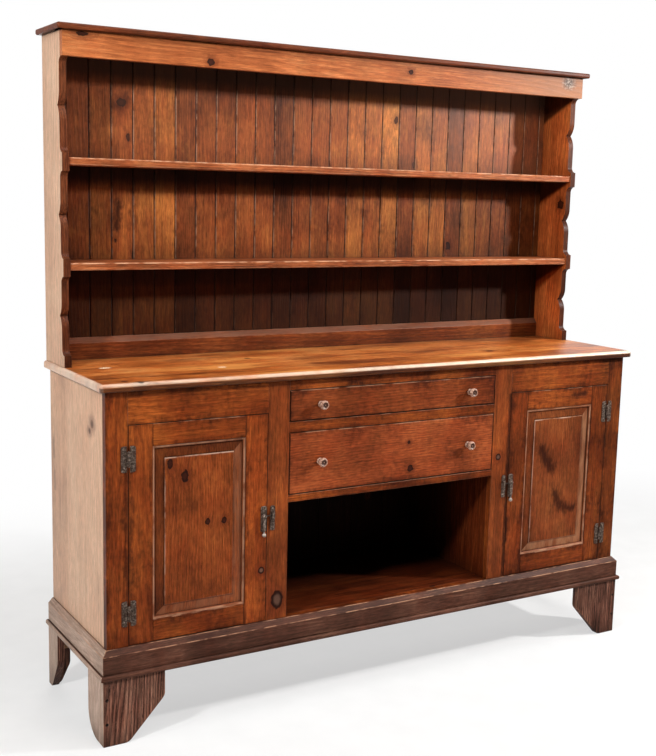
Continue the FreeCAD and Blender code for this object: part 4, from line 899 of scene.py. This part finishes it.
def rail_sheen_and_dust(finish, colour, place):
    """Dust and painted sheen lie on the sloping top of the plate rail."""
    height = finish.parts(place)[2]
    top = finish.spread(height, RAIL_SLOPE_Z - RAIL_SLOPE_FADE, RAIL_SLOPE_Z + RAIL_SLOPE_FADE)
    top = finish.math("MULTIPLY", top, finish.patches(place, *RAIL_SHEEN_AND_DUST_PATCHES))
    return finish.blend(top, colour, RAIL_SHEEN_AND_DUST_TONE)


def darker_inside(finish, colour, place):
    """The inside of the carcass takes painted shade towards its back, most of all in the open recess."""
    across, back, _ = finish.parts(place)
    out = finish.math("ABSOLUTE", across)
    most = finish.spread(out, RECESS_X, RECESS_X + JOINT_W, RECESS_DARK, CUPBOARD_DARK)
    dark = finish.math("MULTIPLY", finish.spread(back, INSIDE_FRONT_Y, INSIDE_BACK_Y), most)
    return finish.blend(dark, colour, RECESS_SHADE_TONES[0])


def paler_cupboards(finish, colour, place):
    """The back boards take less painted shade in the two cupboards than in the open recess."""
    out = finish.math("ABSOLUTE", finish.parts(place)[0])
    cupboard = finish.spread(out, RECESS_X, RECESS_X + JOINT_W, 0.0, CUPBOARD_PALE)
    return finish.blend(cupboard, colour, CUPBOARD_TONE)


def counter_polish_and_painted_light(finish, colour, place):
    """The counter is cloudy with old polish, its edges take painted highlight and sheen, and two spots are
    worn through.
    """
    across, back, height = finish.parts(place)
    clouds = finish.noise(place, *COUNTER_CLOUDS)[0]
    colour = finish.blend(finish.spread(clouds, *COUNTER_DARK_CLOUDS), colour, COUNTER_DARK_TONE)
    colour = finish.blend(finish.spread(clouds, *COUNTER_PALE_CLOUDS), colour, COUNTER_PALE_TONE)

    # Painted highlight along the upper edge, painted sheen on the ends, painted shade below the nose
    end = finish.math("SUBTRACT", finish.math("ABSOLUTE", across), COUNTER_END_X)
    nose = finish.math("SUBTRACT", COUNTER_NOSE_Y, back)
    edge = finish.spread(finish.math("MAXIMUM", end, nose), 0.0, COUNTER_BAND)
    edge = finish.math("MULTIPLY", edge, finish.spread(across, *COUNTER_HIGHLIGHT_X))
    above = finish.spread(height, COUNTER_NOSE_Z, COUNTER_NOSE_Z + COUNTER_BAND)
    at_end = finish.spread(end, 0.0, COUNTER_BAND, 0.0, COUNTER_END_SHEEN)
    pale = finish.math("MAXIMUM", finish.math("MULTIPLY", edge, above), at_end)
    pale = finish.math("MULTIPLY", pale, finish.patches(place, *COUNTER_HIGHLIGHT_PATCHES))
    colour = finish.blend(pale, colour, COUNTER_HIGHLIGHT_TONE)
    below = finish.math("SUBTRACT", 1.0, above)
    dark = finish.math("MULTIPLY", finish.spread(nose, 0.0, COUNTER_BAND), below)
    colour = finish.blend(finish.math("MULTIPLY", dark, COUNTER_NOSE_SHADE), colour, COUNTER_NOSE_SHADE_TONE)

    for spot in COUNTER_BARE_SPOTS:
        bare = finish.spread(knot_gap(finish, place, spot, LEVEL_FACE), *COUNTER_BARE)
        colour = finish.blend(bare, colour, COUNTER_BARE_TONE)
    for knot in COUNTER_KNOTS:
        core = finish.spread(knot_gap(finish, place, knot, LEVEL_FACE), *COUNTER_KNOT_CORE)
        colour = finish.blend(core, colour, KNOT_TONE)
    return colour


def frieze_glare_and_burr(finish, colour, place):
    """The frieze takes painted glare towards its right end, where a grey burr sits."""
    pale = finish.spread(finish.parts(place)[0], *FRIEZE_GLARE_X)
    colour = finish.blend(pale, colour, FRIEZE_GLARE_TONE)
    mottle = finish.noise(place, *BURR_MOTTLES)[0]
    burr = finish.spread(knot_gap(finish, place, FRIEZE_BURR, UPRIGHT_FACE), *BURR_REACH)
    burr_colour = finish.ramp(mottle, tuple(zip(BURR_STOPS, BURR_TONES)))
    return finish.blend(finish.math("MULTIPLY", burr, BURR_SHARE), colour, burr_colour)


def shaded_bays(finish, colour, place):
    """The boards take painted shade: painted shadows under frieze and shelves and of the rack sides, most in
    the lowest bay; dust and painted light at the top.
    """
    across, _, height = finish.parts(place)
    lowest = finish.spread(across, *LOWER_BAY_SHADE)
    low = LOWER_BAY_TOP - BAY_FADE
    painted_shade = finish.spread(height, LOWER_BAY_TOP + BAY_FADE, low, MIDDLE_BAY_SHADE, lowest)
    lower_bays = finish.math("LESS_THAN", height, MIDDLE_BAY_TOP)
    painted_shade = finish.math("MULTIPLY", painted_shade, lower_bays)
    # Painted shadows of the right and the left rack side on the boards at each end
    right = finish.math("MULTIPLY", finish.spread(across, *RIGHT_BOARDS_SHADOW), lower_bays)
    for more in (right, finish.spread(across, *LEFT_BOARDS_SHADOW)):
        painted_shade = finish.math("MULTIPLY_ADD", finish.math("SUBTRACT", 1.0, painted_shade), more, painted_shade)
    # Painted shadow bands under the frieze and under each shelf
    for top, fade, end in SHADED_BAYS:
        band = finish.spread(height, top - fade, top - fade * BAND_FULL_SHARE, 0.0, PAINTED_SHADOW_BAND)
        band = finish.math("MULTIPLY", finish.math("LESS_THAN", height, end), band)
        painted_shade = finish.math("MAXIMUM", painted_shade, band)
    colour = finish.blend(painted_shade, colour, PAINTED_SHADE_TONE)
    # Dust and painted light on the upper bay, more towards its right
    upper_bay = finish.spread(height, MIDDLE_BAY_TOP, MIDDLE_BAY_TOP + BAY_FADE)
    light_and_dust = finish.math("MULTIPLY", upper_bay, finish.spread(across, *UPPER_BAY_LIGHT_AND_DUST))
    return finish.blend(light_and_dust, colour, BOARD_LIGHT_AND_DUST_TONE)


def painted_corner_shadows(finish, colour, place):
    """A rack side takes painted shadows of the frieze and the shelves, deeper towards the back."""
    _, back, height = finish.parts(place)
    for top, front, end in CORNER_SHADOWS:
        line = finish.math("MULTIPLY_ADD", finish.math("SUBTRACT", back, front), CORNER_SLOPE, height)
        dark = finish.spread(line, top + CORNER_FADE[0], top + CORNER_FADE[1], 0.0, CORNER_SHADOW_SHARE)
        dark = finish.math("MULTIPLY", finish.math("LESS_THAN", height, end), dark)
        colour = finish.blend(dark, colour, PAINTED_SHADE_TONE)
    return colour


def merge_solids(shape):
    """Join the loose faces of each closed solid, and number the solids on their faces."""
    number = shape.faces.layers.int.new("solid")
    twins = bmesh.ops.find_doubles(shape, verts=shape.verts, dist=SAME_POINT)["targetmap"]
    open_edges = set()
    corners_of = [[]]
    for face in shape.faces:
        corners = [twins.get(corner, corner) for corner in face.verts]
        for edge in zip(corners, corners[1:] + corners[:1]):
            open_edges ^= {edge} if edge[::-1] not in open_edges else {edge[::-1]}
        face[number] = len(corners_of) - 1
        corners_of[-1] += face.verts
        if not open_edges:
            corners_of.append([])
    for corners in corners_of:
        bmesh.ops.remove_doubles(shape, verts=list(dict.fromkeys(corners)), dist=SAME_POINT)
    return number


def faces_front(face):
    """Whether a face looks straight to the front."""
    return face.normal.y < -LOOKS_STRAIGHT


def is_bent(face):
    """Whether a corner of a face stands out of its plane."""
    middle = face.calc_center_median()
    return any(abs((corner.co - middle).dot(face.normal)) > BENT_GAP for corner in face.verts)


def ease_arrises(shape, ease, shortest, front_only):
    """Round the sharp outer edges that are long enough a little, and mark the new faces."""
    arris = shape.faces.layers.float.new("arris")
    bmesh.ops.dissolve_limit(shape, angle_limit=FLAT_ANGLE, verts=shape.verts, edges=shape.edges)
    sharp = []
    for edge in shape.edges:
        stands_out = edge.is_convex and edge.calc_face_angle(0) > SHARP_ANGLE
        if stands_out and edge.calc_length() > shortest:
            if not front_only or any(map(faces_front, edge.link_faces)):
                sharp.append(edge)
    eased = bmesh.ops.bevel(
        shape,
        geom=sharp,
        offset=ease,
        offset_type="OFFSET",
        affect="EDGES",
        segments=EASE_SEGMENTS,
        profile=0.5,
        material=-1,
        clamp_overlap=True,
    )
    # The new faces turn pale, with wear and painted highlight, most where they look up
    for face in eased["faces"]:
        face[arris] = TOP_ARRIS_WEAR_AND_HIGHLIGHT if face.normal.z > LOOKS_UP else SIDE_ARRIS_WEAR_AND_HIGHLIGHT
    bmesh.ops.dissolve_degenerate(shape, dist=SAME_POINT, edges=shape.edges)
    bent = list(filter(is_bent, shape.faces))
    bmesh.ops.connect_verts_nonplanar(shape, angle_limit=FLAT_ANGLE, faces=bent)
    for face in shape.faces:
        face.smooth = True
    for edge in shape.edges:
        faces = edge.link_faces
        same_kind = len(faces) == 2 and (faces[0][arris] > 0) == (faces[1][arris] > 0)
        edge.smooth = same_kind and edge.calc_face_angle(0) < SHARP_ANGLE


def lay_grain(shape, number, start):
    """Run the grain along the longest side of each board, number it, and note how far its edges are."""
    grain = shape.verts.layers.float_vector.new("grain")
    board = shape.verts.layers.float.new("board")
    from_low = shape.verts.layers.float_vector.new("from_low")
    from_high = shape.verts.layers.float_vector.new("from_high")
    corners_of = {}
    for corner in shape.verts:
        corners_of.setdefault(corner.link_faces[0][number], []).append(corner)
    for count, corners in enumerate(corners_of.values()):
        low = Vector(map(min, zip(*(corner.co for corner in corners))))
        high = Vector(map(max, zip(*(corner.co for corner in corners))))
        along, across, through = sorted(range(3), key=lambda axis: low[axis] - high[axis])
        for corner in corners:
            spot = corner.co - low
            corner[grain] = (spot[along], spot[across], spot[through])
            corner[board] = start + count
            corner[from_low] = spot
            corner[from_high] = high - corner.co


def shade_gaps(shape):
    """Round a door or a drawer front the arrises take painted shade of the gaps, except those that look up.
    """
    arris = shape.faces.layers.float["arris"]
    for face in shape.faces:
        if face[arris] > 0 and face.normal.z < LOOKS_UP:
            face[arris] = -GAP_SHADE


def shade_seams(shape):
    """The right-hand arris of each back board takes painted shade, the left-hand one pale wear and painted
    highlight.
    """
    arris = shape.faces.layers.float["arris"]
    for face in shape.faces:
        if face.normal.y < -LOOKS_ASIDE and abs(face.normal.x) > LOOKS_ASIDE:
            face[arris] = math.copysign(1.0, -face.normal.x)


def mark_slopes(shape):
    """Tell the lower and right-hand slopes of a raised field from the upper and left-hand ones."""
    # Lower and right-hand slopes take dust and painted light, upper and left-hand ones painted shade
    light_and_dust = shape.faces.layers.float.new("light_and_dust")
    for face in shape.faces:
        lean = face.normal.x - face.normal.z
        if face.normal.y < -LOOKS_OUT and abs(lean) > SLOPE_LEAN:
            face[light_and_dust] = 1.0 if lean > 0 else -1.0


def add_piece(name, shape, node, materials):
    """A finished mesh that stands for a node and moves with its body."""
    source = frame["nodes"][node]
    mesh = bpy.data.meshes.new(name)
    shape.to_mesh(mesh)
    shape.free()
    for material in materials:
        mesh.materials.append(material)
    piece = bpy.data.objects.new(name, mesh)
    bpy.context.scene.collection.objects.link(piece)
    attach(piece, source["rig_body"])
    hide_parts(node)
    return piece


def backward(face):
    """1 on a face that looks to the back, 0 elsewhere."""
    return 1 if face.normal.y > LOOKS_BACK else 0


def outward(face):
    """1 on a face that looks to the back or out from the dresser's left or right end, 0 elsewhere."""
    out = face.normal.x * math.copysign(1, face.calc_center_median().x)
    return 1 if out > LOOKS_OUT or backward(face) else 0


def end_board(face):
    """1 on the outer face and the rear of a rack side, 2 on its shaped edges, 0 on its inner face."""
    return 2 if abs(face.normal.x) < LOOKS_OUT and not backward(face) else outward(face)


def dress(node, ease, materials, start, choose=None, shortest=LONG_EDGE, front_only=False):
    """A copy of a node with eased arrises and grain along its boards; its faces can choose their finish."""
    shape = bmesh.new()
    shape.from_mesh(frame["nodes"][node].data)
    number = merge_solids(shape)
    ease_arrises(shape, ease, shortest, front_only)
    lay_grain(shape, number, start)
    if node.endswith("door_panel"):
        mark_slopes(shape)
    if node == "rack_back_boards":
        shade_seams(shape)
    if node.endswith(("door_stiles", "door_rails", "drawer_front")):
        shade_gaps(shape)
    if choose:
        for face in shape.faces:
            face.material_index = choose(face)
    return add_piece(node + "_dressed", shape, node, materials)


def turn_knobs(node, front, material):
    """The two knobs of a drawer, spun from one outline."""
    low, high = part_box(node)
    radius = (high.z - low.z) / 2
    reach = front - low.y
    shape = bmesh.new()
    polish = shape.verts.layers.float.new("polish")
    last = None
    edges = []
    for out, up, dark in KNOB_OUTLINE:
        corner = shape.verts.new((out * radius, front - up * reach, 0.0))
        corner[polish] = dark
        if last:
            edges.append(shape.edges.new((last, corner)))
        last = corner
    bmesh.ops.spin(
        shape,
        geom=list(shape.verts) + edges,
        cent=(0.0, 0.0, 0.0),
        axis=(0.0, 1.0, 0.0),
        angle=math.tau,
        steps=KNOB_STEPS,
        use_merge=True,
    )
    bmesh.ops.remove_doubles(shape, verts=shape.verts, dist=SAME_POINT)
    bmesh.ops.recalc_face_normals(shape, faces=shape.faces)
    for face in shape.faces:
        face.smooth = True
    one = list(shape.verts) + list(shape.edges) + list(shape.faces)
    copied = bmesh.ops.duplicate(shape, geom=one)["geom"]
    middle = (low.z + high.z) / 2
    for items, across in ((one, low.x + radius), (copied, high.x - radius)):
        corners = [item for item in items if isinstance(item, bmesh.types.BMVert)]
        bmesh.ops.translate(shape, verts=corners, vec=(across, 0.0, middle))
    piece = add_piece(node + "_turned", shape, node, [material])
    rounded = piece.modifiers.new("rounded", "SUBSURF")
    rounded.levels = KNOB_ROUNDING
    rounded.render_levels = KNOB_ROUNDING
    return piece


def white_floor():
    """A pale floor that stays white away from the dresser and keeps its shadow close by."""
    finish = Finish(bpy.data.materials.new("white_floor"))
    place = finish.place()
    mottle = finish.noise(place, *FLOOR_MOTTLES)[0]
    paint = finish.ramp(mottle, tuple(zip(FLOOR_STOPS, FLOOR_TONES)))
    plain = finish.add("BsdfDiffuse", {"Color": paint}).outputs[0]
    rays = finish.add("LightPath").outputs
    away = finish.vector("LENGTH", finish.vector("MULTIPLY", place, FLOOR_STRETCH))
    seen = finish.math("MULTIPLY", rays["Is Camera Ray"], finish.spread(away, *FLOOR_WHITE))
    mirrored = finish.math("MAXIMUM", rays["Is Glossy Ray"], rays["Is Transmission Ray"])
    seen = finish.math("MAXIMUM", seen, mirrored)
    behind = finish.spread(finish.parts(place)[1], *FLOOR_BEHIND, ROOM_SHARE, 1.0)
    level = finish.math("MAXIMUM", behind, rays["Is Camera Ray"])
    glow = finish.add("Emission", {"Color": WHITE, "Strength": level}).outputs[0]
    shader = finish.add("MixShader", {0: seen, 1: plain, 2: glow}).outputs[0]
    finish.add("OutputMaterial", {"Surface": shader})
    return finish.owner


def lay_floor():
    """The round floor under the dresser."""
    shape = bmesh.new()
    bmesh.ops.create_circle(shape, cap_ends=True, segments=FLOOR_SIDES, radius=FLOOR_R)
    mesh = bpy.data.meshes.new("floor")
    shape.to_mesh(mesh)
    shape.free()
    mesh.materials.append(white_floor())
    floor = bpy.data.objects.new("floor", mesh)
    bpy.context.scene.collection.objects.link(floor)


def light_world():
    """A little even light from all round, with a white backdrop behind the dresser."""
    world = bpy.data.worlds.new("studio")
    bpy.context.scene.world = world
    finish = Finish(world)
    rays = finish.add("LightPath").outputs
    direction = finish.add("TexCoord").outputs["Generated"]
    behind = finish.spread(finish.parts(direction)[1], *SKY_BEHIND, ROOM_SHARE, 1.0)
    mirrored = finish.math("MAXIMUM", rays["Is Glossy Ray"], rays["Is Transmission Ray"])
    level = finish.math("MULTIPLY_ADD", mirrored, finish.math("SUBTRACT", behind, AMBIENT), AMBIENT)
    level = finish.math("MAXIMUM", level, rays["Is Camera Ray"])
    backdrop = finish.add("Background", {"Color": WHITE, "Strength": level}).outputs[0]
    finish.add("OutputWorld", {"Surface": backdrop})


def hang_lamp(name, place, target, size, power):
    """A soft lamp that points at a spot."""
    lamp = bpy.data.lights.new(name, "AREA")
    lamp.shape = "DISK"
    lamp.size = size
    lamp.energy = power
    holder = bpy.data.objects.new(name, lamp)
    aim = (Vector(target) - Vector(place)).to_track_quat("-Z", "Y")
    holder.matrix_world = Matrix.Translation(place) @ aim.to_matrix().to_4x4()
    bpy.context.scene.collection.objects.link(holder)


def set_camera():
    """The photograph's own viewpoint."""
    forward = Vector((
        -math.sin(CAMERA_TURN) * math.cos(CAMERA_DROP),
        math.cos(CAMERA_TURN) * math.cos(CAMERA_DROP),
        -math.sin(CAMERA_DROP),
    ))
    level = forward.cross(Vector((0.0, 0.0, 1.0))).normalized()
    upright = level.cross(forward)
    right = math.cos(CAMERA_ROLL) * level + math.sin(CAMERA_ROLL) * upright
    up = math.cos(CAMERA_ROLL) * upright - math.sin(CAMERA_ROLL) * level
    lens = bpy.data.cameras.new("camera")
    lens.sensor_width = SENSOR
    lens.lens = FOCAL_PX / FRAME_H_PX * SENSOR
    camera = bpy.data.objects.new("camera", lens)
    turn = Matrix((right, up, -forward)).transposed().to_4x4()
    camera.matrix_world = Matrix.Translation(CAMERA_PLACE) @ turn
    bpy.context.scene.collection.objects.link(camera)
    bpy.context.scene.camera = camera


# Finishes of the frame, the doors and the drawers
red_pine = pine("red_pine_frame", RED_TONES, figure=0.6, patina=0.45, stain=browner_end)
drawer_rail_pine = pine(
    "red_pine_drawer_rails",
    RED_TONES,
    smears_and_shadows=DRAWER_RAIL_SMEARS,
    strays=0.0,
    figure=0.8,
    patina=0.35,
    wear_and_highlight=0.5,
)
inner_stile_pine = pine(
    "red_pine_inner_stiles",
    PANEL_TONES,
    INNER_STILE_KNOTS,
    INNER_STILE_GAP_SHADOW,
    strays=0.0,
    figure=0.6,
    patina=0.15,
    grey_knots=True,
)
left_door_pine = pine(
    "red_pine_left_door",
    RED_TONES,
    LEFT_DOOR_KNOTS,
    strays=0.1,
    figure=0.6,
    patina=0.4,
    grey_knots=True,
    wear_and_highlight=0.55,
    stain=paler_latch_stile,
)
right_door_pine = pine(
    "red_pine_right_door",
    RED_TONES,
    smears_and_shadows=RIGHT_DOOR_SMEARS,
    strays=0.0,
    figure=0.6,
    patina=0.45,
    wear_and_highlight=0.55,
    stain=browner_end,
)
PANEL_LOOK = dict(strip=PANEL_STRIP_W, strays=0.0, figure=0.5, patina=0.32, wear_and_highlight=0.9)
left_panel_pine = pine(
    "red_pine_left_panel", PANEL_TONES, LEFT_PANEL_KNOTS, stain=slopes_lit_and_dusty, **PANEL_LOOK
)
right_panel_pine = pine(
    "red_pine_right_panel", SHADED_TONES, smears_and_shadows=RIGHT_PANEL_SMEARS, stain=right_slopes_lit_and_dusty, **PANEL_LOOK
)
bead_pine = pine("red_pine_beads", BEAD_TONES, strays=0.0, wear_and_highlight=0.9, grime_and_shade=0.3, stain=worn_and_lit_bead)
DRAWER_LOOK = dict(strays=0.0, variety=0.03, figure=0.45, patina=0.4, wear_and_highlight=0.55)
upper_drawer_pine = pine("red_pine_upper_drawer", SHADED_DRAWER_TONES, **DRAWER_LOOK)
lower_drawer_pine = pine("red_pine_lower_drawer", DRAWER_TONES, LOWER_DRAWER_KNOTS, **DRAWER_LOOK)

# Finishes of the rack, the counter and the ends
board_pine = pine(
    "red_pine_rack_boards",
    BOARD_TONES,
    RACK_BOARD_KNOTS,
    RACK_BOARD_SMEARS,
    strays=0.12,
    variety=0.17,
    stripes=0.2,
    figure=0.5,
    patina=0.3,
    wear_and_highlight=0.8,
    stain=shaded_bays,
)
left_rack_pine = pine("red_pine_left_rack_side", RACK_SIDE_TONES, strays=0.25, grime_and_shade=0.5)
right_rack_pine = pine(
    "red_pine_right_rack_side",
    RACK_SIDE_TONES,
    RIGHT_RACK_KNOTS,
    face=END_FACE,
    strays=0.0,
    figure=0.8,
    grime_and_shade=0.6,
    stain=painted_corner_shadows,
)
edge_pine = pine("red_pine_shaped_edges", EDGE_TONES, strays=0.0, wear_and_highlight=0.6)
# Outer faces of the ends: partly faded wood, partly painted light
FADED_AND_LIT_LOOK = dict(strip=PANEL_STRIP_W, mellow=0.15, shine=0.4)
faded_and_lit_pine = pine("faded_pine_ends", FADED_AND_LIT_TONES, strays=0.2, figure=0.5, **FADED_AND_LIT_LOOK)
left_end_pine = pine(
    "faded_pine_left_end",
    FADED_AND_LIT_TONES,
    LEFT_END_KNOTS,
    LEFT_END_SMEARS,
    face=END_FACE,
    strays=0.0,
    figure=0.6,
    grey_knots=True,
    depth=0.4,
    **FADED_AND_LIT_LOOK,
)
frieze_pine = pine(
    "warm_pine_frieze", FRIEZE_TONES, FRIEZE_KNOTS, strays=0.0, mellow=0.25, stain=frieze_glare_and_burr
)
cornice_pine = pine("red_pine_cornice", CORNICE_TONES, face=LEVEL_FACE, strip=PANEL_STRIP_W)
shelf_pine = pine("red_pine_shelves", SHELF_TONES, strip=PANEL_STRIP_W, wear_and_highlight=1.0)
rail_pine = pine(
    "red_pine_plate_rail", SHADED_TONES, strays=0.1, figure=0.8, wear_and_highlight=0.5, stain=rail_sheen_and_dust
)
counter_pine = pine(
    "warm_pine_counter",
    WARM_TONES,
    COUNTER_KNOTS,
    face=LEVEL_FACE,
    strip=COUNTER_STRIP_W,
    strays=0.2,
    stripes=0.5,
    figure=1.2,
    gloss=0.30,
    shine=0.45,
    stain=counter_polish_and_painted_light,
)

# Finishes of the plinth, the feet and the inside
PLINTH_LOOK = dict(strays=0.1, wear_and_highlight=0.65, gloss=0.46)
brown_pine = pine("brown_pine_plinth", BROWN_TONES, stripes=0.22, figure=0.6, **PLINTH_LOOK)
# Outer faces of the plinth and feet: partly faded wood, partly painted light
grey_and_lit_pine = pine(
    "brown_pine_plinth_ends", GREY_AND_LIT_TONES, stripes=0.24, figure=0.7, mellow=0.15, **PLINTH_LOOK
)
foot_pine = pine(
    "brown_pine_feet", FOOT_TONES, strays=0.0, stripes=0.75, figure=1.5, wear_and_highlight=0.5, gloss=0.46
)
inner_pine = pine("red_pine_inside", INNER_TONES, strip=PANEL_STRIP_W, figure=1.5, stain=darker_inside)
recess_shade_pine = pine("red_pine_recess_back", RECESS_SHADE_TONES, strays=0.1, wear_and_highlight=0.0, stain=paler_cupboards)
raw_pine = pine(
    "raw_pine",
    RAW_TONES,
    strip=PANEL_STRIP_W,
    strays=0.4,
    figure=0.7,
    mellow=0.15,
    wear_and_highlight=0.1,
    gloss=0.62,
)

# Finishes of the fittings
iron = hammered_iron("dark_hammered_iron", IRON_TONES)
lever_iron = hammered_iron("rubbed_lever_iron", LEVER_TONES, tip=True)
screw_hole_iron = hammered_iron("blackened_foot_screws", SCREW_HOLE_TONES, rub_and_highlight=0.0)
knob_wood = worn_knob_wood("worn_turned_knobs")

# Boards of one finish: the node, its ease and its finish
WOOD = (
    ("outer_stiles", FRAME_EASE, red_pine),
    ("inner_stiles", FRAME_EASE, inner_stile_pine),
    ("door_head_rails", FRAME_EASE, red_pine),
    ("drawer_rails", FRAME_EASE, drawer_rail_pine),
    ("bottom_rail", FRAME_EASE, red_pine),
    ("left_door_stiles", DOOR_EASE, left_door_pine),
    ("left_door_rails", DOOR_EASE, left_door_pine),
    ("left_door_panel", PANEL_EASE, left_panel_pine),
    ("left_door_panel_bead", PLANK_EASE, bead_pine),
    ("right_door_stiles", DOOR_EASE, right_door_pine),
    ("right_door_rails", DOOR_EASE, right_door_pine),
    ("right_door_panel", PANEL_EASE, right_panel_pine),
    ("right_door_panel_bead", PLANK_EASE, bead_pine),
    ("upper_drawer_front", DRAWER_EASE, upper_drawer_pine),
    ("lower_drawer_front", DRAWER_EASE, lower_drawer_pine),
    ("upper_shelf", SHELF_EASE, shelf_pine),
    ("lower_shelf", SHELF_EASE, shelf_pine),
    ("plate_rail", FRAME_EASE, rail_pine),
    ("frieze", FRAME_EASE, frieze_pine),
    ("cornice", FRAME_EASE, cornice_pine),
    ("plinth_front", PLINTH_EASE, brown_pine),
    ("foot_blocks", FRAME_EASE, raw_pine),
    ("base_floor", FRAME_EASE, inner_pine),
    ("partitions", FRAME_EASE, inner_pine),
    ("recess_ceiling", FRAME_EASE, inner_pine),
    ("drawer_runners", FRAME_EASE, raw_pine),
    ("drawer_stops", FRAME_EASE, raw_pine),
    ("rack_dowels", PLANK_EASE, raw_pine),
)
# Boards whose faces differ: the node, its ease, which face takes which finish, and the finishes
MANY_FACED = (
    ("rack_back_boards", SEAM_EASE, backward, (board_pine, raw_pine)),
    ("base_back_boards", PLANK_EASE, backward, (recess_shade_pine, raw_pine)),
    ("counter_top", FRAME_EASE, backward, (counter_pine, raw_pine)),
    ("rack_side_left", FRAME_EASE, end_board, (left_rack_pine, faded_and_lit_pine, edge_pine)),
    ("rack_side_right", FRAME_EASE, end_board, (right_rack_pine, faded_and_lit_pine, edge_pine)),
    ("base_side_left", FRAME_EASE, outward, (inner_pine, left_end_pine)),
    ("base_side_right", FRAME_EASE, outward, (inner_pine, faded_and_lit_pine)),
    ("plinth_returns", PLINTH_EASE, outward, (brown_pine, grey_and_lit_pine)),
    ("shoe_moulding", PLANK_EASE, outward, (brown_pine, grey_and_lit_pine)),
    ("front_feet", FOOT_EASE, outward, (foot_pine, grey_and_lit_pine)),
    ("back_feet", FOOT_EASE, outward, (foot_pine, grey_and_lit_pine)),
)
# Boards eased only round their front, boards with curves, and what a drawer has behind its front
FRONTS = ("stiles", "rails", "bottom_rail", "drawer_front")
CURVED = ("rack_side_left", "rack_side_right", "front_feet", "back_feet")
DRAWER_BOX = ("sides", "back", "bottom")
# Fittings: the node, its ease, the shortest edge that is eased, and its finish
IRONWORK = (
    ("hinge_frame_leaves", IRON_EASE, IRON_EDGE, iron),
    ("hinge_pins", IRON_EASE, IRON_EDGE, iron),
    ("left_door_hinge_leaves", IRON_EASE, IRON_EDGE, iron),
    ("left_latch_plate", IRON_EASE, IRON_EDGE, iron),
    ("left_latch_lever", IRON_EASE, IRON_EDGE, lever_iron),
    ("right_door_hinge_leaves", IRON_EASE, IRON_EDGE, iron),
    ("right_latch_plate", IRON_EASE, IRON_EDGE, iron),
    ("right_latch_lever", IRON_EASE, IRON_EDGE, lever_iron),
    ("frame_screws", SCREW_EASE, IRON_EDGE, iron),
    ("left_door_screws", SCREW_EASE, IRON_EDGE, iron),
    ("right_door_screws", SCREW_EASE, IRON_EDGE, iron),
    ("foot_screws", SCREW_EASE, IRON_EDGE, screw_hole_iron),
    ("latch_keeps", SCREW_EASE, KEEP_EDGE, iron),
)
BOARDS_PER_NODE = 40

start = 0
for node, ease, material in WOOD:
    dress(node, ease, [material], start, front_only=node.endswith(FRONTS))
    start += BOARDS_PER_NODE
for node, ease, choose, materials in MANY_FACED:
    dress(node, ease, materials, start, choose, CURVE_EDGE if node in CURVED else LONG_EDGE)
    start += BOARDS_PER_NODE
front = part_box("upper_drawer_front")[0].y
for drawer in ("upper_drawer", "lower_drawer"):
    turn_knobs(drawer + "_knobs", front, knob_wood)
    for piece in DRAWER_BOX:
        dress(drawer + "_" + piece, FRAME_EASE, [raw_pine], start)
        start += BOARDS_PER_NODE
for node, ease, shortest, material in IRONWORK:
    dress(node, ease, [material], start, shortest=shortest)

lay_floor()
light_world()
for lamp in LAMPS:
    hang_lamp(*lamp)
set_camera()
bpy.context.scene.view_settings.view_transform = "Standard"
